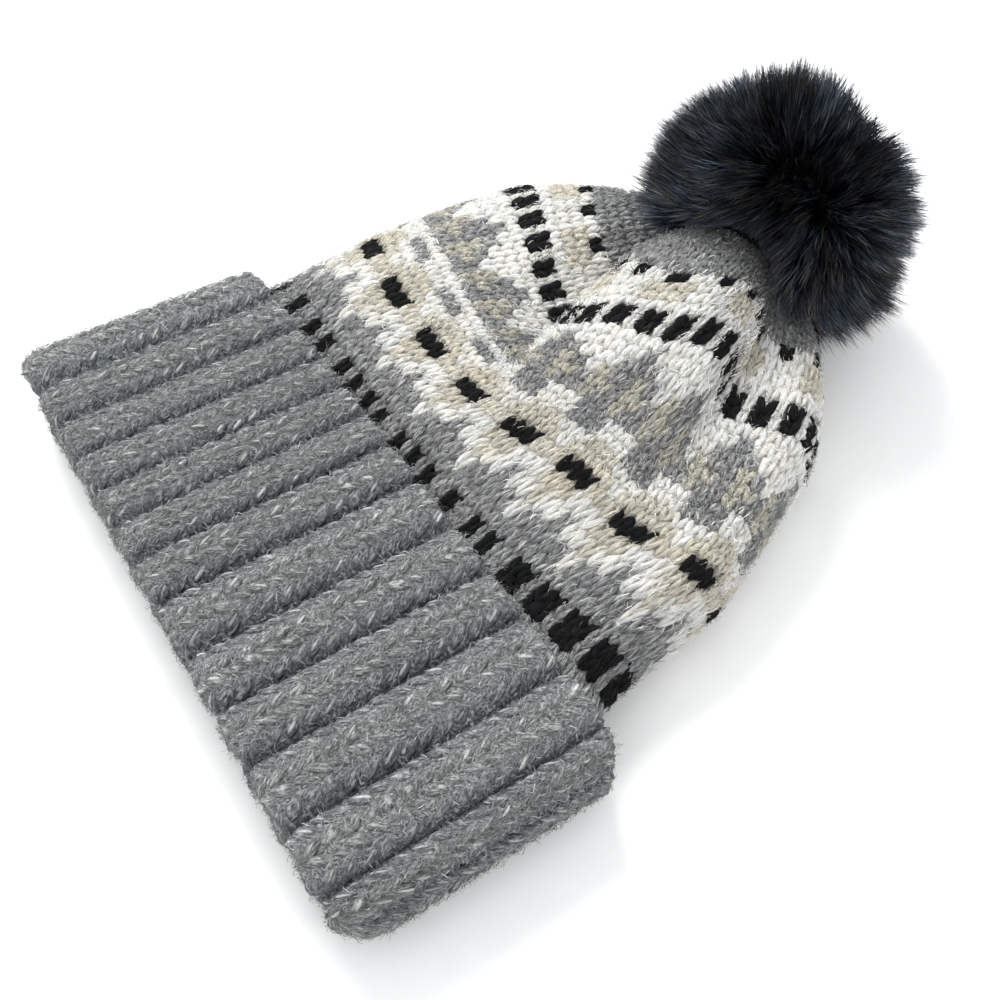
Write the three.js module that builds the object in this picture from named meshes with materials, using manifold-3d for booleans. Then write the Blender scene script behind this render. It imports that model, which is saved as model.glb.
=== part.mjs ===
// A knitted beanie lying flat: a patterned crown with three soft lobes, a turned-up ribbed cuff and a round fur pompom.
// Millimetres, +Z up. The hat rests on z = 0 with its mouth towards -Y and its gathered top towards +Y.
import * as THREE from "three";
import Module from "manifold-3d";

const wasm = await Module();
wasm.setup();
const { Manifold, Mesh } = wasm;

// ---- driving sizes -------------------------------------------------------
const CUFF_WIDTH = 224; // the cuff folded flat, left end to right end
const CUFF_AT = -1.5; // where its left end lies
const CUFF_FOLD_AT = -2.5; // where the fold at the mouth lies
const CUFF_ROUND = 5; // rounding of the band's upper corners at both ends
const FOLD_ROUND = 9; // the same at the fold
const CUFF_THICK = 32; // all layers and the hollow, lying flat
const CUFF_TOP_LEFT = 80; // height of the turned-up band at its left end
const CUFF_TOP_RIGHT = 87; // the same at its right end
const CUFF_TAPER = 6; // how far the left end leans in towards the crown
const OUTER_LAYER = 5.0; // wall of the turned-up layer, at a rib
const LAYER_GAP = 0.8; // air between the two layers of the band
const INNER_LAYER = 4.4; // wall of the layer inside
const HEM_LEFT = 68; // where the crown's hem meets the inner layer, left end
const HEM_RIGHT = 78; // the same at the right end
const RIB_DEPTH = 3.0; // how deep the purl groove between two ribs is
const CROWN_WALL = 4.5; // knitted wall of the crown
const GAP = 0.4; // between neighbouring pieces
const POMPOM_R = 46.5; // outer form of the fur
const POMPOM_AT = { u: 96, v: 237, z: 47.1 };
const ORIGIN = { u: 110.9, v: 140.4 }; // middle of the part's box on the table

// ---- crown: one row a section, one column a station across the top side ----
// Stations go from the left edge over the left lobe, first crease, middle lobe, second crease and right lobe to the right edge.
const STATION = [0, 0.2, 0.43, 0.57, 0.71, 0.86, 1];
const SECTION = [-6, -3, 4, 9.5, 14.5, 20, 25, 29, 31.5]; // knitted courses from the bottom of the pattern
const ACROSS = [
  // edge, lobe, crease, lobe, crease, lobe, edge
  [10, 45, 93, 121, 150, 181, 212.6],
  [11.5, 47, 93, 121, 150, 180, 201.5],
  [11, 52, 101, 127, 154, 179, 194.5],
  [14, 53, 95, 126, 153, 172.5, 183],
  [19.5, 53, 88, 122, 146, 161, 170.5],
  [36, 58, 81, 114, 135, 148, 152.5],
  [54.5, 69, 84.5, 106.5, 122.5, 130, 129.5],
  [80, 86, 91, 102, 112, 114.5, 112.5],
  [100, 100, 100, 100, 100, 100, 100],
];
const ALONG = [
  [69.2, 70.8, 72.9, 74.2, 75.5, 77, 78.6],
  [84, 82, 82.5, 84, 87, 91.5, 95.5],
  [122, 117, 116.5, 120, 125, 132.5, 139],
  [152, 143, 136, 144, 150.5, 161, 167.5],
  [180, 166.5, 156.5, 166, 172, 185.5, 195],
  [203, 190, 186.5, 189, 194.5, 204.5, 213],
  [217.5, 208, 204.5, 207, 210.5, 218, 225.5],
  [225, 218, 215, 218, 219.5, 222.5, 227.5],
  [225, 225, 225, 225, 225, 225, 225],
];
const HEIGHT = [
  [16, 26.2, 26.2, 26.2, 26.2, 26.2, 16],
  [14, 26.6, 26.6, 27, 26.6, 26.6, 14],
  [13, 35, 37, 40, 37, 35, 13],
  [13, 37, 35, 48, 39, 38, 13],
  [13, 38, 30, 55, 42, 40, 14],
  [14, 38, 31, 59.5, 42, 39, 15],
  [16, 37, 34, 56, 43, 37, 18],
  [22, 35, 36, 45, 40, 34, 23],
  [30, 30, 30, 30, 30, 30, 30],
];
const UNDER = [5.8, 4.6, 0, 0, 0, 0, 1.5, 13, 30]; // height of the underside's middle, section by section

// ---- cuff: places of the grooves between ribs, across the top at the band's upper edge ----
const GROOVES_TOP = [6.5, 22, 38, 53, 67, 81, 95, 111, 131, 150, 168, 189, 210];
const GROOVES_UNDER = 15; // even ribs on the underside

// ---- small helpers -------------------------------------------------------
function slopes(xs, ys) {
  const n = xs.length,
    h = [],
    d = [],
    m = new Array(n);
  for (let i = 0; i < n - 1; i++) {
    h.push(xs[i + 1] - xs[i]);
    d.push((ys[i + 1] - ys[i]) / h[i]);
  }
  m[0] = d[0];
  m[n - 1] = d[n - 2];
  for (let i = 1; i < n - 1; i++) {
    if (d[i - 1] * d[i] <= 0) m[i] = 0;
    else {
      const a = 2 * h[i] + h[i - 1],
        b = h[i] + 2 * h[i - 1];
      m[i] = (a + b) / (a / d[i - 1] + b / d[i]);
    }
  }
  return m;
}
// A smooth curve through a table's points that never overshoots them.
function curve(xs, ys, x) {
  const m = slopes(xs, ys);
  let i = 0;
  while (i < xs.length - 2 && x > xs[i + 1]) i++;
  const h = xs[i + 1] - xs[i],
    t = Math.min(1, Math.max(0, (x - xs[i]) / h)),
    u = t * t,
    w = u * t;
  return (
    (2 * w - 3 * u + 1) * ys[i] +
    (w - 2 * u + t) * h * m[i] +
    (3 * u - 2 * w) * ys[i + 1] +
    (w - u) * h * m[i + 1]
  );
}
const column = (table, k) => table.map((row) => row[k]);
function solid(points, faces) {
  const made = new Manifold(
    new Mesh({
      numProp: 3,
      vertProperties: new Float32Array(points.flat()),
      triVerts: new Uint32Array(faces.flat()),
    }),
  );
  return made;
}
function geometryOf(manifold) {
  const m = manifold.getMesh();
  const v = new Float32Array(m.numVert * 3);
  for (let i = 0; i < m.numVert; i++)
    v.set(m.vertProperties.subarray(i * m.numProp, i * m.numProp + 3), i * 3);
  const g = new THREE.BufferGeometry()
    .setAttribute("position", new THREE.BufferAttribute(v, 3))
    .setIndex(new THREE.BufferAttribute(m.triVerts.slice(), 1));
  g.computeVertexNormals();
  return g;
}
// Rings of equal length joined into a tube; the last ring may close on the first.
function tube(rings, closed, flip) {
  const n = rings[0].length,
    points = rings.flat(),
    faces = [];
  const last = closed ? rings.length : rings.length - 1;
  for (let r = 0; r < last; r++)
    for (let i = 0; i < n; i++) {
      const a = r * n + i,
        b = r * n + ((i + 1) % n),
        c = ((r + 1) % rings.length) * n + i,
        d = ((r + 1) % rings.length) * n + ((i + 1) % n);
      const pair = [
        [a, b, d],
        [a, d, c],
      ];
      for (const f of pair) faces.push(flip ? [f[0], f[2], f[1]] : f);
    }
  return { points, faces };
}

// ---- crown ---------------------------------------------------------------
function sectionAt(course) {
  const x = STATION.map((_, k) => curve(SECTION, column(ACROSS, k), course));
  const y = STATION.map((_, k) => curve(SECTION, column(ALONG, k), course));
  const z = STATION.map((_, k) => curve(SECTION, column(HEIGHT, k), course));
  return { x, y, z, under: curve(SECTION, UNDER, course) };
}
// From a crease or an edge (t = 0) up to the crest of a lobe (t = 1).
const swell = (t, full, sharp) => Math.pow(1 - Math.pow(1 - t, full), sharp);
function topPoint(s, f) {
  let k = 0;
  while (k < 5 && f > STATION[k + 1]) k++;
  const t = (f - STATION[k]) / (STATION[k + 1] - STATION[k]);
  const z0 = s.z[k],
    z1 = s.z[k + 1];
  const rising = k % 2 === 0; // odd stations are crests
  const r = rising ? t : 1 - t,
    low = rising ? z0 : z1,
    high = rising ? z1 : z0;
  let form;
  if (k === 0 || k === 5) form = swell(r, 2.4, 0.5);
  else if (k === 1) form = swell(r, 2, 1.0);
  else if (k === 2) form = swell(r, 2, 0.55);
  else form = swell(r, 2, 0.75);
  return [
    curve(STATION, s.x, f),
    curve(STATION, s.y, f),
    low + (high - low) * form,
  ];
}
function underPoint(s, f) {
  const c = Math.abs(2 * f - 1),
    d = Math.max(0, (c - 0.74) / 0.26),
    edge = f < 0.5 ? s.z[0] : s.z[6];
  return [
    s.x[0] + (s.x[6] - s.x[0]) * f,
    s.y[0] + (s.y[6] - s.y[0]) * f,
    s.under + (edge - s.under) * (1 - Math.sqrt(Math.max(0, 1 - d * d))),
  ];
}
function even(points, count) {
  const run = [0];
  for (let i = 1; i < points.length; i++)
    run.push(
      run[i - 1] +
        Math.hypot(...points[i].map((c, k) => c - points[i - 1][k])),
    );
  const out = [],
    total = run[run.length - 1];
  let k = 0;
  for (let i = 0; i < count; i++) {
    const want = (total * i) / count;
    while (k < points.length - 2 && run[k + 1] < want) k++;
    const t = (want - run[k]) / Math.max(1e-9, run[k + 1] - run[k]);
    out.push(points[k].map((c, q) => c + (points[k + 1][q] - c) * t));
  }
  return out;
}
// One closed ring of the outer surface: over the top from left to right, back underneath.
function ring(course, top, under) {
  const s = sectionAt(course),
    fine = 160,
    over = [],
    back = [];
  for (let i = 0; i <= fine; i++) {
    const f = (1 - Math.cos((Math.PI * i) / fine)) / 2;
    over.push(topPoint(s, f));
    back.push(underPoint(s, 1 - f));
  }
  return [...even(over, top), ...even(back, under)];
}
const sub = (a, b) => a.map((c, k) => c - b[k]);
const cross = (a, b) => [
  a[1] * b[2] - a[2] * b[1],
  a[2] * b[0] - a[0] * b[2],
  a[0] * b[1] - a[1] * b[0],
];
const unit = (a) => {
  const l = Math.hypot(...a) || 1;
  return a.map((c) => c / l);
};
// Rings moved along the surface's own normal; a plus distance is outwards.
function shifted(courses, top, under, distance) {
  const n = top + under;
  return courses.map((c) => {
    const here = ring(c, top, under),
      before = ring(Math.max(SECTION[0], c - 0.7), top, under),
      after = ring(Math.min(30.6, c + 0.7), top, under);
    return here.map((p, i) => {
      const along = unit(sub(after[i], before[i])),
        round = unit(sub(here[(i + 1) % n], here[(i + n - 1) % n])),
        out = unit(cross(round, along));
      return p.map((q, k) => q + out[k] * distance);
    });
  });
}
const TOP = 46,
  BELOW = 22;
const tip = [100, 225, 30];
function crownSolid() {
  const courses = [];
  for (let c = -6; c < 30.2; c += 1.72) courses.push(Math.min(c, 30.2));
  courses.push(30.4);
  const outer = courses.map((c) => ring(c, TOP, BELOW));
  const innerCourses = [];
  for (let c = -6; c < 26.4; c += 2.45) innerCourses.push(c);
  innerCourses.push(27.0);
  const inner = shifted(innerCourses, TOP, BELOW, -CROWN_WALL);
  // the hem is cut straight, so the inner ring starts on the same course
  inner[0] = outer[0].map((p, i) => [inner[0][i][0], p[1], inner[0][i][2]]);
  const rings = [...inner.reverse(), ...outer];
  const { points, faces } = tube(rings, false, false);
  const n = TOP + BELOW;
  const first = points.length;
  const end = inner[0]
    .reduce((a, p) => a.map((c, k) => c + p[k]), [0, 0, 0])
    .map((c) => c / n);
  points.push(end, tip);
  for (let i = 0; i < n; i++) {
    faces.push([first, (i + 1) % n, i]);
    const base = (rings.length - 1) * n;
    faces.push([first + 1, base + i, base + ((i + 1) % n)]);
  }
  return solid(points, faces);
}
// A plain body a little larger than the crown, to press its dent into the fur.
function crownPress(room) {
  const courses = [2, 6, 10, 13, 16, 18, 20, 22, 24, 26, 28, 30];
  const rings = shifted(courses, 34, 14, room);
  const { points, faces } = tube(rings, false, false);
  const n = 48,
    first = points.length;
  const start = rings[0]
    .reduce((a, p) => a.map((c, k) => c + p[k]), [0, 0, 0])
    .map((c) => c / n);
  points.push(start, [tip[0] - 0.5, tip[1] + room + 1, tip[2]]);
  for (let i = 0; i < n; i++) {
    faces.push([first, (i + 1) % n, i]);
    const base = (rings.length - 1) * n;
    faces.push([first + 1, base + i, base + ((i + 1) % n)]);
  }
  return solid(points, faces);
}

// ---- cuff ----------------------------------------------------------------
const HALF = CUFF_THICK / 2;
// Places round the flattened band: u along the top, round the right end, back underneath, round the left end.
function loopPlaces() {
  const straight = CUFF_WIDTH - CUFF_THICK,
    bend = Math.PI * HALF;
  const grooves = GROOVES_TOP.map((place) => {
    const u = place - CUFF_AT;
    if (u >= HALF && u <= CUFF_WIDTH - HALF) return u - HALF;
    if (u < HALF) return -HALF * Math.acos(Math.max(0, u / HALF)) ;
    return (
      straight + HALF * Math.asin(Math.min(1, (u - CUFF_WIDTH + HALF) / HALF))
    );
  });
  const total = 2 * straight + 2 * bend;
  const from = grooves[grooves.length - 1],
    to = total + grooves[0],
    places = [...grooves];
  for (let i = 1; i <= GROOVES_UNDER + 1; i++)
    places.push(from + ((to - from) * i) / (GROOVES_UNDER + 2));
  return { places, total, straight, bend };
}
function loopPoint(run, inset) {
  const { total, straight, bend } = LOOP;
  let s = ((run % total) + total) % total;
  const r = HALF - inset;
  if (s < straight) return [HALF + s, HALF + r];
  s -= straight;
  if (s < bend) {
    const a = s / HALF;
    return [CUFF_WIDTH - HALF + r * Math.sin(a), HALF + r * Math.cos(a)];
  }
  s -= bend;
  if (s < straight) return [CUFF_WIDTH - HALF - s, HALF - r];
  s -= straight;
  const a = s / HALF;
  return [HALF - r * Math.sin(a), HALF - r * Math.cos(a)];
}
const LOOP = loopPlaces();
function cuffSolid() {
  const { places, total } = LOOP,
    stations = [];
  places.forEach((g, i) => {
    const next = i + 1 < places.length ? places[i + 1] : places[0] + total;
    stations.push([g, 1], [g + (next - g) * 0.27, 0], [g + (next - g) * 0.73, 0]);
  });
  const full = OUTER_LAYER + LAYER_GAP + INNER_LAYER,
    middle = full / 2;
  const point = ([run, groove], v, inset, relief) => {
    const depth = inset + groove * relief;
    const [u, z] = loopPoint(run, depth);
    const lean = (1 - u / CUFF_WIDTH) * CUFF_TAPER * (v / CUFF_TOP_LEFT);
    const end = Math.max(0, Math.abs(2 * u - CUFF_WIDTH) / 2 - CUFF_WIDTH / 2 + HALF) / HALF;
    const share = v / CUFF_TOP_LEFT;
    const fold = (CUFF_FOLD_AT + FOLD_ROUND * end * end) * (1 - share);
    return [
      u + CUFF_AT + lean,
      v + fold - CUFF_ROUND * end * end * share,
      z,
    ];
  };
  const rings = [];
  const shareOf = (st) => loopPoint(st[0], 0)[0] / CUFF_WIDTH;
  const upper = (st) =>
    CUFF_TOP_LEFT + (CUFF_TOP_RIGHT - CUFF_TOP_LEFT) * shareOf(st);
  const hem = (st) => HEM_LEFT + (HEM_RIGHT - HEM_LEFT) * shareOf(st);
  const add = (make) => rings.push(stations.map(make));
  add((s) => point(s, upper(s), 3.0, 0.5));
  add((s) => point(s, upper(s) - 2, 0.5, RIB_DEPTH / 3 + 0.6));
  add((s) => point(s, upper(s) - 7, 0, RIB_DEPTH));
  add((s) => point(s, upper(s) * 0.5, 0, RIB_DEPTH));
  add((s) => point(s, 6.5, 0, RIB_DEPTH));
  add((s) => point(s, 1.8 + s[1] * 1.2, 1.6, RIB_DEPTH * 0.7));
  add((s) => point(s, 0 + s[1] * 1.6, middle, 0));
  add((s) => point(s, 1.8, full - 1.6, 0));
  add((s) => point(s, 6.5, full, 0));
  add((s) => point(s, hem(s) * 0.55, full, 0));
  add((s) => point(s, hem(s), full, 0));
  add((s) => point(s, hem(s), full - INNER_LAYER, 0));
  add((s) => point(s, 7.5, full - INNER_LAYER, 0));
  add((s) => point(s, 6.0, OUTER_LAYER + LAYER_GAP / 2, 0));
  add((s) => point(s, 7.5, OUTER_LAYER, 0));
  add((s) => point(s, upper(s) - 0.8, OUTER_LAYER, 0));
  const { points, faces } = tube(rings, true, true);
  return solid(points, faces);
}

// ---- pompom --------------------------------------------------------------
function pompomSolid() {
  const ball = new THREE.SphereGeometry(POMPOM_R, 30, 20);
  ball.rotateX(Math.PI / 2);
  const p = ball.getAttribute("position"),
    seen = new Map(),
    points = [],
    map = [];
  for (let i = 0; i < p.count; i++) {
    const v = [p.getX(i), p.getY(i), p.getZ(i)];
    const key = v.map((c) => c.toFixed(3).replace("-0.000", "0.000")).join();
    if (!seen.has(key)) {
      seen.set(key, points.length);
      points.push([v[0] + POMPOM_AT.u, v[1] + POMPOM_AT.v, v[2] + POMPOM_AT.z]);
    }
    map.push(seen.get(key));
  }
  const idx = ball.getIndex().array,
    faces = [];
  for (let i = 0; i < idx.length; i += 3) {
    const f = [map[idx[i]], map[idx[i + 1]], map[idx[i + 2]]];
    if (f[0] !== f[1] && f[1] !== f[2] && f[0] !== f[2]) faces.push(f);
  }
  // the lobe in front pushes the fur back, so none of it hangs over the lobe
  let fur = solid(points, faces);
  for (const [y, z] of [
    [0, 0],
    [-6, 8],
    [-12, 17],
  ])
    fur = fur.subtract(crownPress(GAP + 1.1).translate([0, y, z]));
  return fur.decompose().sort((a, b) => b.volume() - a.volume())[0];
}

// ---- the part ------------------------------------------------------------
const group = new THREE.Group();
group.name = "beanie";
function piece(name, manifold, colour, roughness) {
  const mesh = new THREE.Mesh(
    geometryOf(manifold),
    new THREE.MeshStandardMaterial({ color: colour, roughness, metalness: 0 }),
  );
  mesh.name = name;
  group.add(mesh);
}
piece("crown", crownSolid(), 0xb9b6ac, 0.95);
piece("cuff", cuffSolid(), 0x808385, 0.95);
piece("pompom", pompomSolid(), 0x232831, 0.9);
group.position.set(-ORIGIN.u, -ORIGIN.v, 0);

export default group;
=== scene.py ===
import math

import bpy
import numpy as np
from mathutils import Matrix, Vector


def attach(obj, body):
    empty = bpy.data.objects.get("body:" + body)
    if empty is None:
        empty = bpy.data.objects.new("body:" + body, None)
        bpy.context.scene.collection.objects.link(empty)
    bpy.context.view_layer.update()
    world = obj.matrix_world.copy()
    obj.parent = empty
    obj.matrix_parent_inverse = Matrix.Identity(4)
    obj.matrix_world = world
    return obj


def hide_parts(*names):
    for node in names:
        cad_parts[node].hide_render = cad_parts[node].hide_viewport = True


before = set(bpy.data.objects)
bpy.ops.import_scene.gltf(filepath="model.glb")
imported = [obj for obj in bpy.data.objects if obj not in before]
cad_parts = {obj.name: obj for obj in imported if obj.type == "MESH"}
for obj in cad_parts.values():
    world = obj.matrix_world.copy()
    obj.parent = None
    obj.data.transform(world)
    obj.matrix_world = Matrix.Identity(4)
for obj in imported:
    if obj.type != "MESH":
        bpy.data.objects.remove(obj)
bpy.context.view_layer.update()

# A knitted beanie lying flat. The crown is knitted stitch by stitch from a chart, the turned-up band is
# ribbed in thick marled yarn, and the pompom is long-haired fur.
# Shapes are worked out in millimetres in the hat's own frame (u across, v from the fold to the gathered top, z up).
ORIGIN = np.array([110.9, 140.4, 0.0])


def metres(points):
    return (np.asarray(points, dtype=np.float64) - ORIGIN) / 1000.0


def linear(r, g, b):
    """An 8-bit display colour as a linear one."""
    out = []
    for c in (r, g, b):
        c = c / 255.0
        out.append(c / 12.92 if c <= 0.04045 else ((c + 0.055) / 1.055) ** 2.4)
    return np.array(out)


# ---- camera --------------------------------------------------------------
EYE = Vector((0.19020, -0.15460, 0.34530))
LOOK = Vector((-0.444, 0.305, -0.842)).normalized()
RIGHT = Vector((0.542, 0.840, 0.019))
RIGHT = (RIGHT - LOOK * RIGHT.dot(LOOK)).normalized()
RISE = RIGHT.cross(LOOK)
camera = bpy.data.objects.new("camera", bpy.data.cameras.new("camera"))
bpy.context.scene.collection.objects.link(camera)
camera.matrix_world = Matrix(
    (
        (RIGHT.x, RISE.x, -LOOK.x, EYE.x),
        (RIGHT.y, RISE.y, -LOOK.y, EYE.y),
        (RIGHT.z, RISE.z, -LOOK.z, EYE.z),
        (0, 0, 0, 1),
    )
)
camera.data.sensor_width = 36.0
camera.data.lens = 45.07
camera.data.clip_start = 0.01
camera.data.clip_end = 20.0
bpy.context.scene.camera = camera


# ---- the crown's surface -------------------------------------------------
STATION = np.array([0, 0.2, 0.43, 0.57, 0.71, 0.86, 1.0])
SECTION = np.array([-6, -3, 4, 9.5, 14.5, 20, 25, 29, 31.5])
ACROSS = np.array(
    [
        [10, 45, 93, 121, 150, 181, 212.6],
        [11.5, 47, 93, 121, 150, 180, 201.5],
        [11, 52, 101, 127, 154, 179, 194.5],
        [14, 53, 95, 126, 153, 172.5, 183],
        [19.5, 53, 88, 122, 146, 161, 170.5],
        [36, 58, 81, 114, 135, 148, 152.5],
        [54.5, 69, 84.5, 106.5, 122.5, 130, 129.5],
        [80, 86, 91, 102, 112, 114.5, 112.5],
        [100] * 7,
    ],
    dtype=float,
)
ALONG = np.array(
    [
        [69.2, 70.8, 72.9, 74.2, 75.5, 77, 78.6],
        [84, 82, 82.5, 84, 87, 91.5, 95.5],
        [122, 117, 116.5, 120, 125, 132.5, 139],
        [152, 143, 136, 144, 150.5, 161, 167.5],
        [180, 166.5, 156.5, 166, 172, 185.5, 195],
        [203, 190, 186.5, 189, 194.5, 204.5, 213],
        [217.5, 208, 204.5, 207, 210.5, 218, 225.5],
        [225, 218, 215, 218, 219.5, 222.5, 227.5],
        [225] * 7,
    ],
    dtype=float,
)
HEIGHT = np.array(
    [
        [16, 26.2, 26.2, 26.2, 26.2, 26.2, 16],
        [14, 26.6, 26.6, 27, 26.6, 26.6, 14],
        [13, 35, 37, 40, 37, 35, 13],
        [13, 37, 35, 48, 39, 38, 13],
        [13, 38, 30, 55, 42, 40, 14],
        [14, 38, 31, 59.5, 42, 39, 15],
        [16, 37, 34, 56, 43, 37, 18],
        [22, 35, 36, 45, 40, 34, 23],
        [30] * 7,
    ],
    dtype=float,
)
UNDER = np.array([5.8, 4.6, 0, 0, 0, 0, 1.5, 13, 30])


def slopes(xs, ys):
    h = np.diff(xs)
    d = np.diff(ys) / h
    m = np.empty(len(xs))
    m[0], m[-1] = d[0], d[-1]
    for i in range(1, len(xs) - 1):
        if d[i - 1] * d[i] <= 0:
            m[i] = 0
        else:
            a, b = 2 * h[i] + h[i - 1], h[i] + 2 * h[i - 1]
            m[i] = (a + b) / (a / d[i - 1] + b / d[i])
    return m


def curve(xs, ys, x):
    """A smooth curve through a table's points that never overshoots them."""
    xs, ys, x = np.asarray(xs, float), np.asarray(ys, float), np.asarray(x, float)
    m = slopes(xs, ys)
    i = np.clip(np.searchsorted(xs, x, side="left") - 1, 0, len(xs) - 2)
    h = xs[i + 1] - xs[i]
    t = np.clip((x - xs[i]) / h, 0, 1)
    u = t * t
    w = u * t
    return (
        (2 * w - 3 * u + 1) * ys[i]
        + (w - 2 * u + t) * h * m[i]
        + (3 * u - 2 * w) * ys[i + 1]
        + (w - u) * h * m[i + 1]
    )


def top_point(x, y, z, f):
    k = np.clip(np.searchsorted(STATION, f, side="left") - 1, 0, 5)
    t = (f - STATION[k]) / (STATION[k + 1] - STATION[k])
    rising = k % 2 == 0
    r = np.clip(np.where(rising, t, 1 - t), 0, 1)
    low = np.where(rising, z[k], z[k + 1])
    high = np.where(rising, z[k + 1], z[k])
    full = np.where((k == 0) | (k == 5), 2.4, 2.0)
    sharp = np.select([(k == 0) | (k == 5), k == 1, k == 2], [0.5, 1.0, 0.55], 0.75)
    form = (1 - (1 - r) ** full) ** sharp
    return np.stack([curve(STATION, x, f), curve(STATION, y, f), low + (high - low) * form], -1)


def under_point(x, y, z, under, f):
    c = np.abs(2 * f - 1)
    d = np.maximum(0, (c - 0.74) / 0.26)
    edge = np.where(f < 0.5, z[0], z[6])
    return np.stack(
        [
            x[0] + (x[6] - x[0]) * f,
            y[0] + (y[6] - y[0]) * f,
            under + (edge - under) * (1 - np.sqrt(np.maximum(0, 1 - d * d))),
        ],
        -1,
    )


def evenly(points, count):
    run = np.r_[0, np.cumsum(np.linalg.norm(np.diff(points, axis=0), axis=1))]
    want = np.linspace(0, run[-1], count)
    return np.stack([np.interp(want, run, points[:, k]) for k in range(3)], -1)


TOP_CELLS, UNDER_CELLS = 480, 360
ROWS_FROM, ROWS_TO, ROW_STEP = -6.0, 30.4, 0.2


def crown_grid():
    rows = []
    f = (1 - np.cos(np.pi * np.arange(161) / 160)) / 2
    for c in np.arange(ROWS_FROM, ROWS_TO + 0.01, ROW_STEP):
        x, y, z = (
            np.array([float(curve(SECTION, table[:, k], c)) for k in range(7)])
            for table in (ACROSS, ALONG, HEIGHT)
        )
        under = float(curve(SECTION, UNDER, c))
        over = evenly(top_point(x, y, z, f), TOP_CELLS + 1)
        back = evenly(under_point(x, y, z, under, 1 - f), UNDER_CELLS + 1)
        rows.append(np.concatenate([over[:-1], back[:-1]]))
    return np.array(rows)


def unit(a):
    return a / np.maximum(np.linalg.norm(a, axis=-1, keepdims=True), 1e-12)


def smoothed(a, times, axis_wrap=True):
    for _ in range(times):
        if axis_wrap:
            a = (np.roll(a, 1, 1) + 2 * a + np.roll(a, -1, 1)) / 4
        b = a.copy()
        b[1:-1] = (a[:-2] + 2 * a[1:-1] + a[2:]) / 4
        a = b
    return a


CROWN = crown_grid()
_round = np.roll(CROWN, -2, 1) - np.roll(CROWN, 2, 1)
_along = np.gradient(CROWN, axis=0)
CROWN_OUT = unit(smoothed(unit(np.cross(_round, _along)), 3))


def look_up(grid, row, ring, rows_wrap_from, step):
    """Grid values at fractional rows and ring cells; the ring closes on itself."""
    r = np.clip((row - rows_wrap_from) / step, 0, grid.shape[0] - 1.000001)
    i = r.astype(int)
    fr = (r - i)[..., None]
    n = grid.shape[1]
    k = np.floor(ring).astype(int)
    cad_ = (ring - k)[..., None]
    k0, k1 = k % n, (k + 1) % n
    low = grid[i, k0] * (1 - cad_) + grid[i, k1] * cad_
    high = grid[i + 1, k0] * (1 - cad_) + grid[i + 1, k1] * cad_
    return low * (1 - fr) + high * fr


# Wales are counted over the top from the left edge, then back underneath.
TOP_FROM, TOP_TO = -2.5, 50.5
WALES = 102
LOW_T = np.array([0, 5.3, 11.1, 16.6, 21.9, 26.9, 31.8, 36.9, 42.3, 47]) / 47
LOW_C = np.array([-2.5, 3, 9, 15, 21, 27, 33, 39, 45, 50.5])
HIGH_T = (
    np.array(
        [0, 5.1, 7.6, 9.7, 12.1, 14.5, 16.3, 19.6, 20.6, 23.6, 25.7, 28.0, 29.9, 31.4, 33.1, 34.4, 35.3, 36.3, 38.4]
        + [40.6, 42.8, 45.1, 47]
    )
    / 47
)
HIGH_C = np.array(
    [-2.5, 2, 4, 6, 8, 10, 12, 15.3, 20.7, 24, 26, 28, 30, 32, 34, 35.8, 38.6, 40, 42, 44, 46, 48, 50.5]
)


# How many rows the courses lie higher or lower than the surface's own rows, at rows 14.4 and 19: the middle lobe
# pulls them up on its right side.
LIFT_LOW = (
    [14, 20, 23.4, 24.4, 26, 28, 29.75, 31.4, 33.9, 36.5, 39, 42],
    [0, -0.9, -1.3, -0.7, -0.2, 0, 0.5, 1.8, 3.0, 2.3, 0.3, 0],
)
LIFT_MIDDLE = ([-2, 2, 9, 15, 21, 27, 33, 38.5, 45, 50.5], [0.9, 0.8, 0.25, 0, 0, 0.3, 0.9, 0.4, 0.9, 0.9])
LIFT_HIGH = ([4, 9, 13, 20, 26.6, 29, 31.4, 34, 38, 41.2, 47, 50.5], [0.4, -0.3, -0.4, -1.2, -1.2, 1, 3, 3.2, 2.6, 2.1, 2, 0])


def row_of(wale, row):
    """Where on the surface a knitted row lies."""
    w = np.mod(wale - TOP_FROM, WALES) + TOP_FROM
    low, high = np.interp(w, *LIFT_LOW), np.interp(w, *LIFT_HIGH)
    a = np.clip((row - 7.5) / 6.9, 0, 1)
    b = np.clip((row - 14.4) / 4.6, 0, 1)
    fade = np.interp(row, [19, 24, 30], [1, 0.8, 0])
    middle = np.interp(w, *LIFT_MIDDLE) * np.interp(row, [-0.5, 3, 4.5, 9], [0, 1, 1, 0])
    return row + (low * a * (1 - b) + high * b) * fade + middle


def ring_of(wale, row):
    """The ring cell of a wale. Towards the gathered top some wales sink into the two creases."""
    w = np.mod(wale - TOP_FROM, WALES) + TOP_FROM
    # below the diamonds' middle the wales lean towards the left edge
    lean = np.clip((3.5 - row) / 3.5, 0, 1)
    w = w - 1.6 * lean * lean * (3 - 2 * lean) * np.interp(w, [-2.5, 4, 22, 30, 40, 50.5], [0, 1, 1, 0.5, 0.25, 0])
    blend = np.clip((row - 4) / 10.5, 0, 1)
    blend = blend * blend * (3 - 2 * blend)
    top = np.interp(w, LOW_C, LOW_T) * (1 - blend) + np.interp(w, HIGH_C, HIGH_T) * blend
    under = (w - TOP_TO) / (TOP_FROM + WALES - TOP_TO)
    return np.where(w < TOP_TO, top * TOP_CELLS, TOP_CELLS + under * UNDER_CELLS)


def crown_place(wale, row, height):
    ring = ring_of(wale, row)
    row = row_of(wale, row)
    return (
        look_up(CROWN, row, ring, ROWS_FROM, ROW_STEP)
        + look_up(CROWN_OUT, row, ring, ROWS_FROM, ROW_STEP) * height[..., None]
    )


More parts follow.
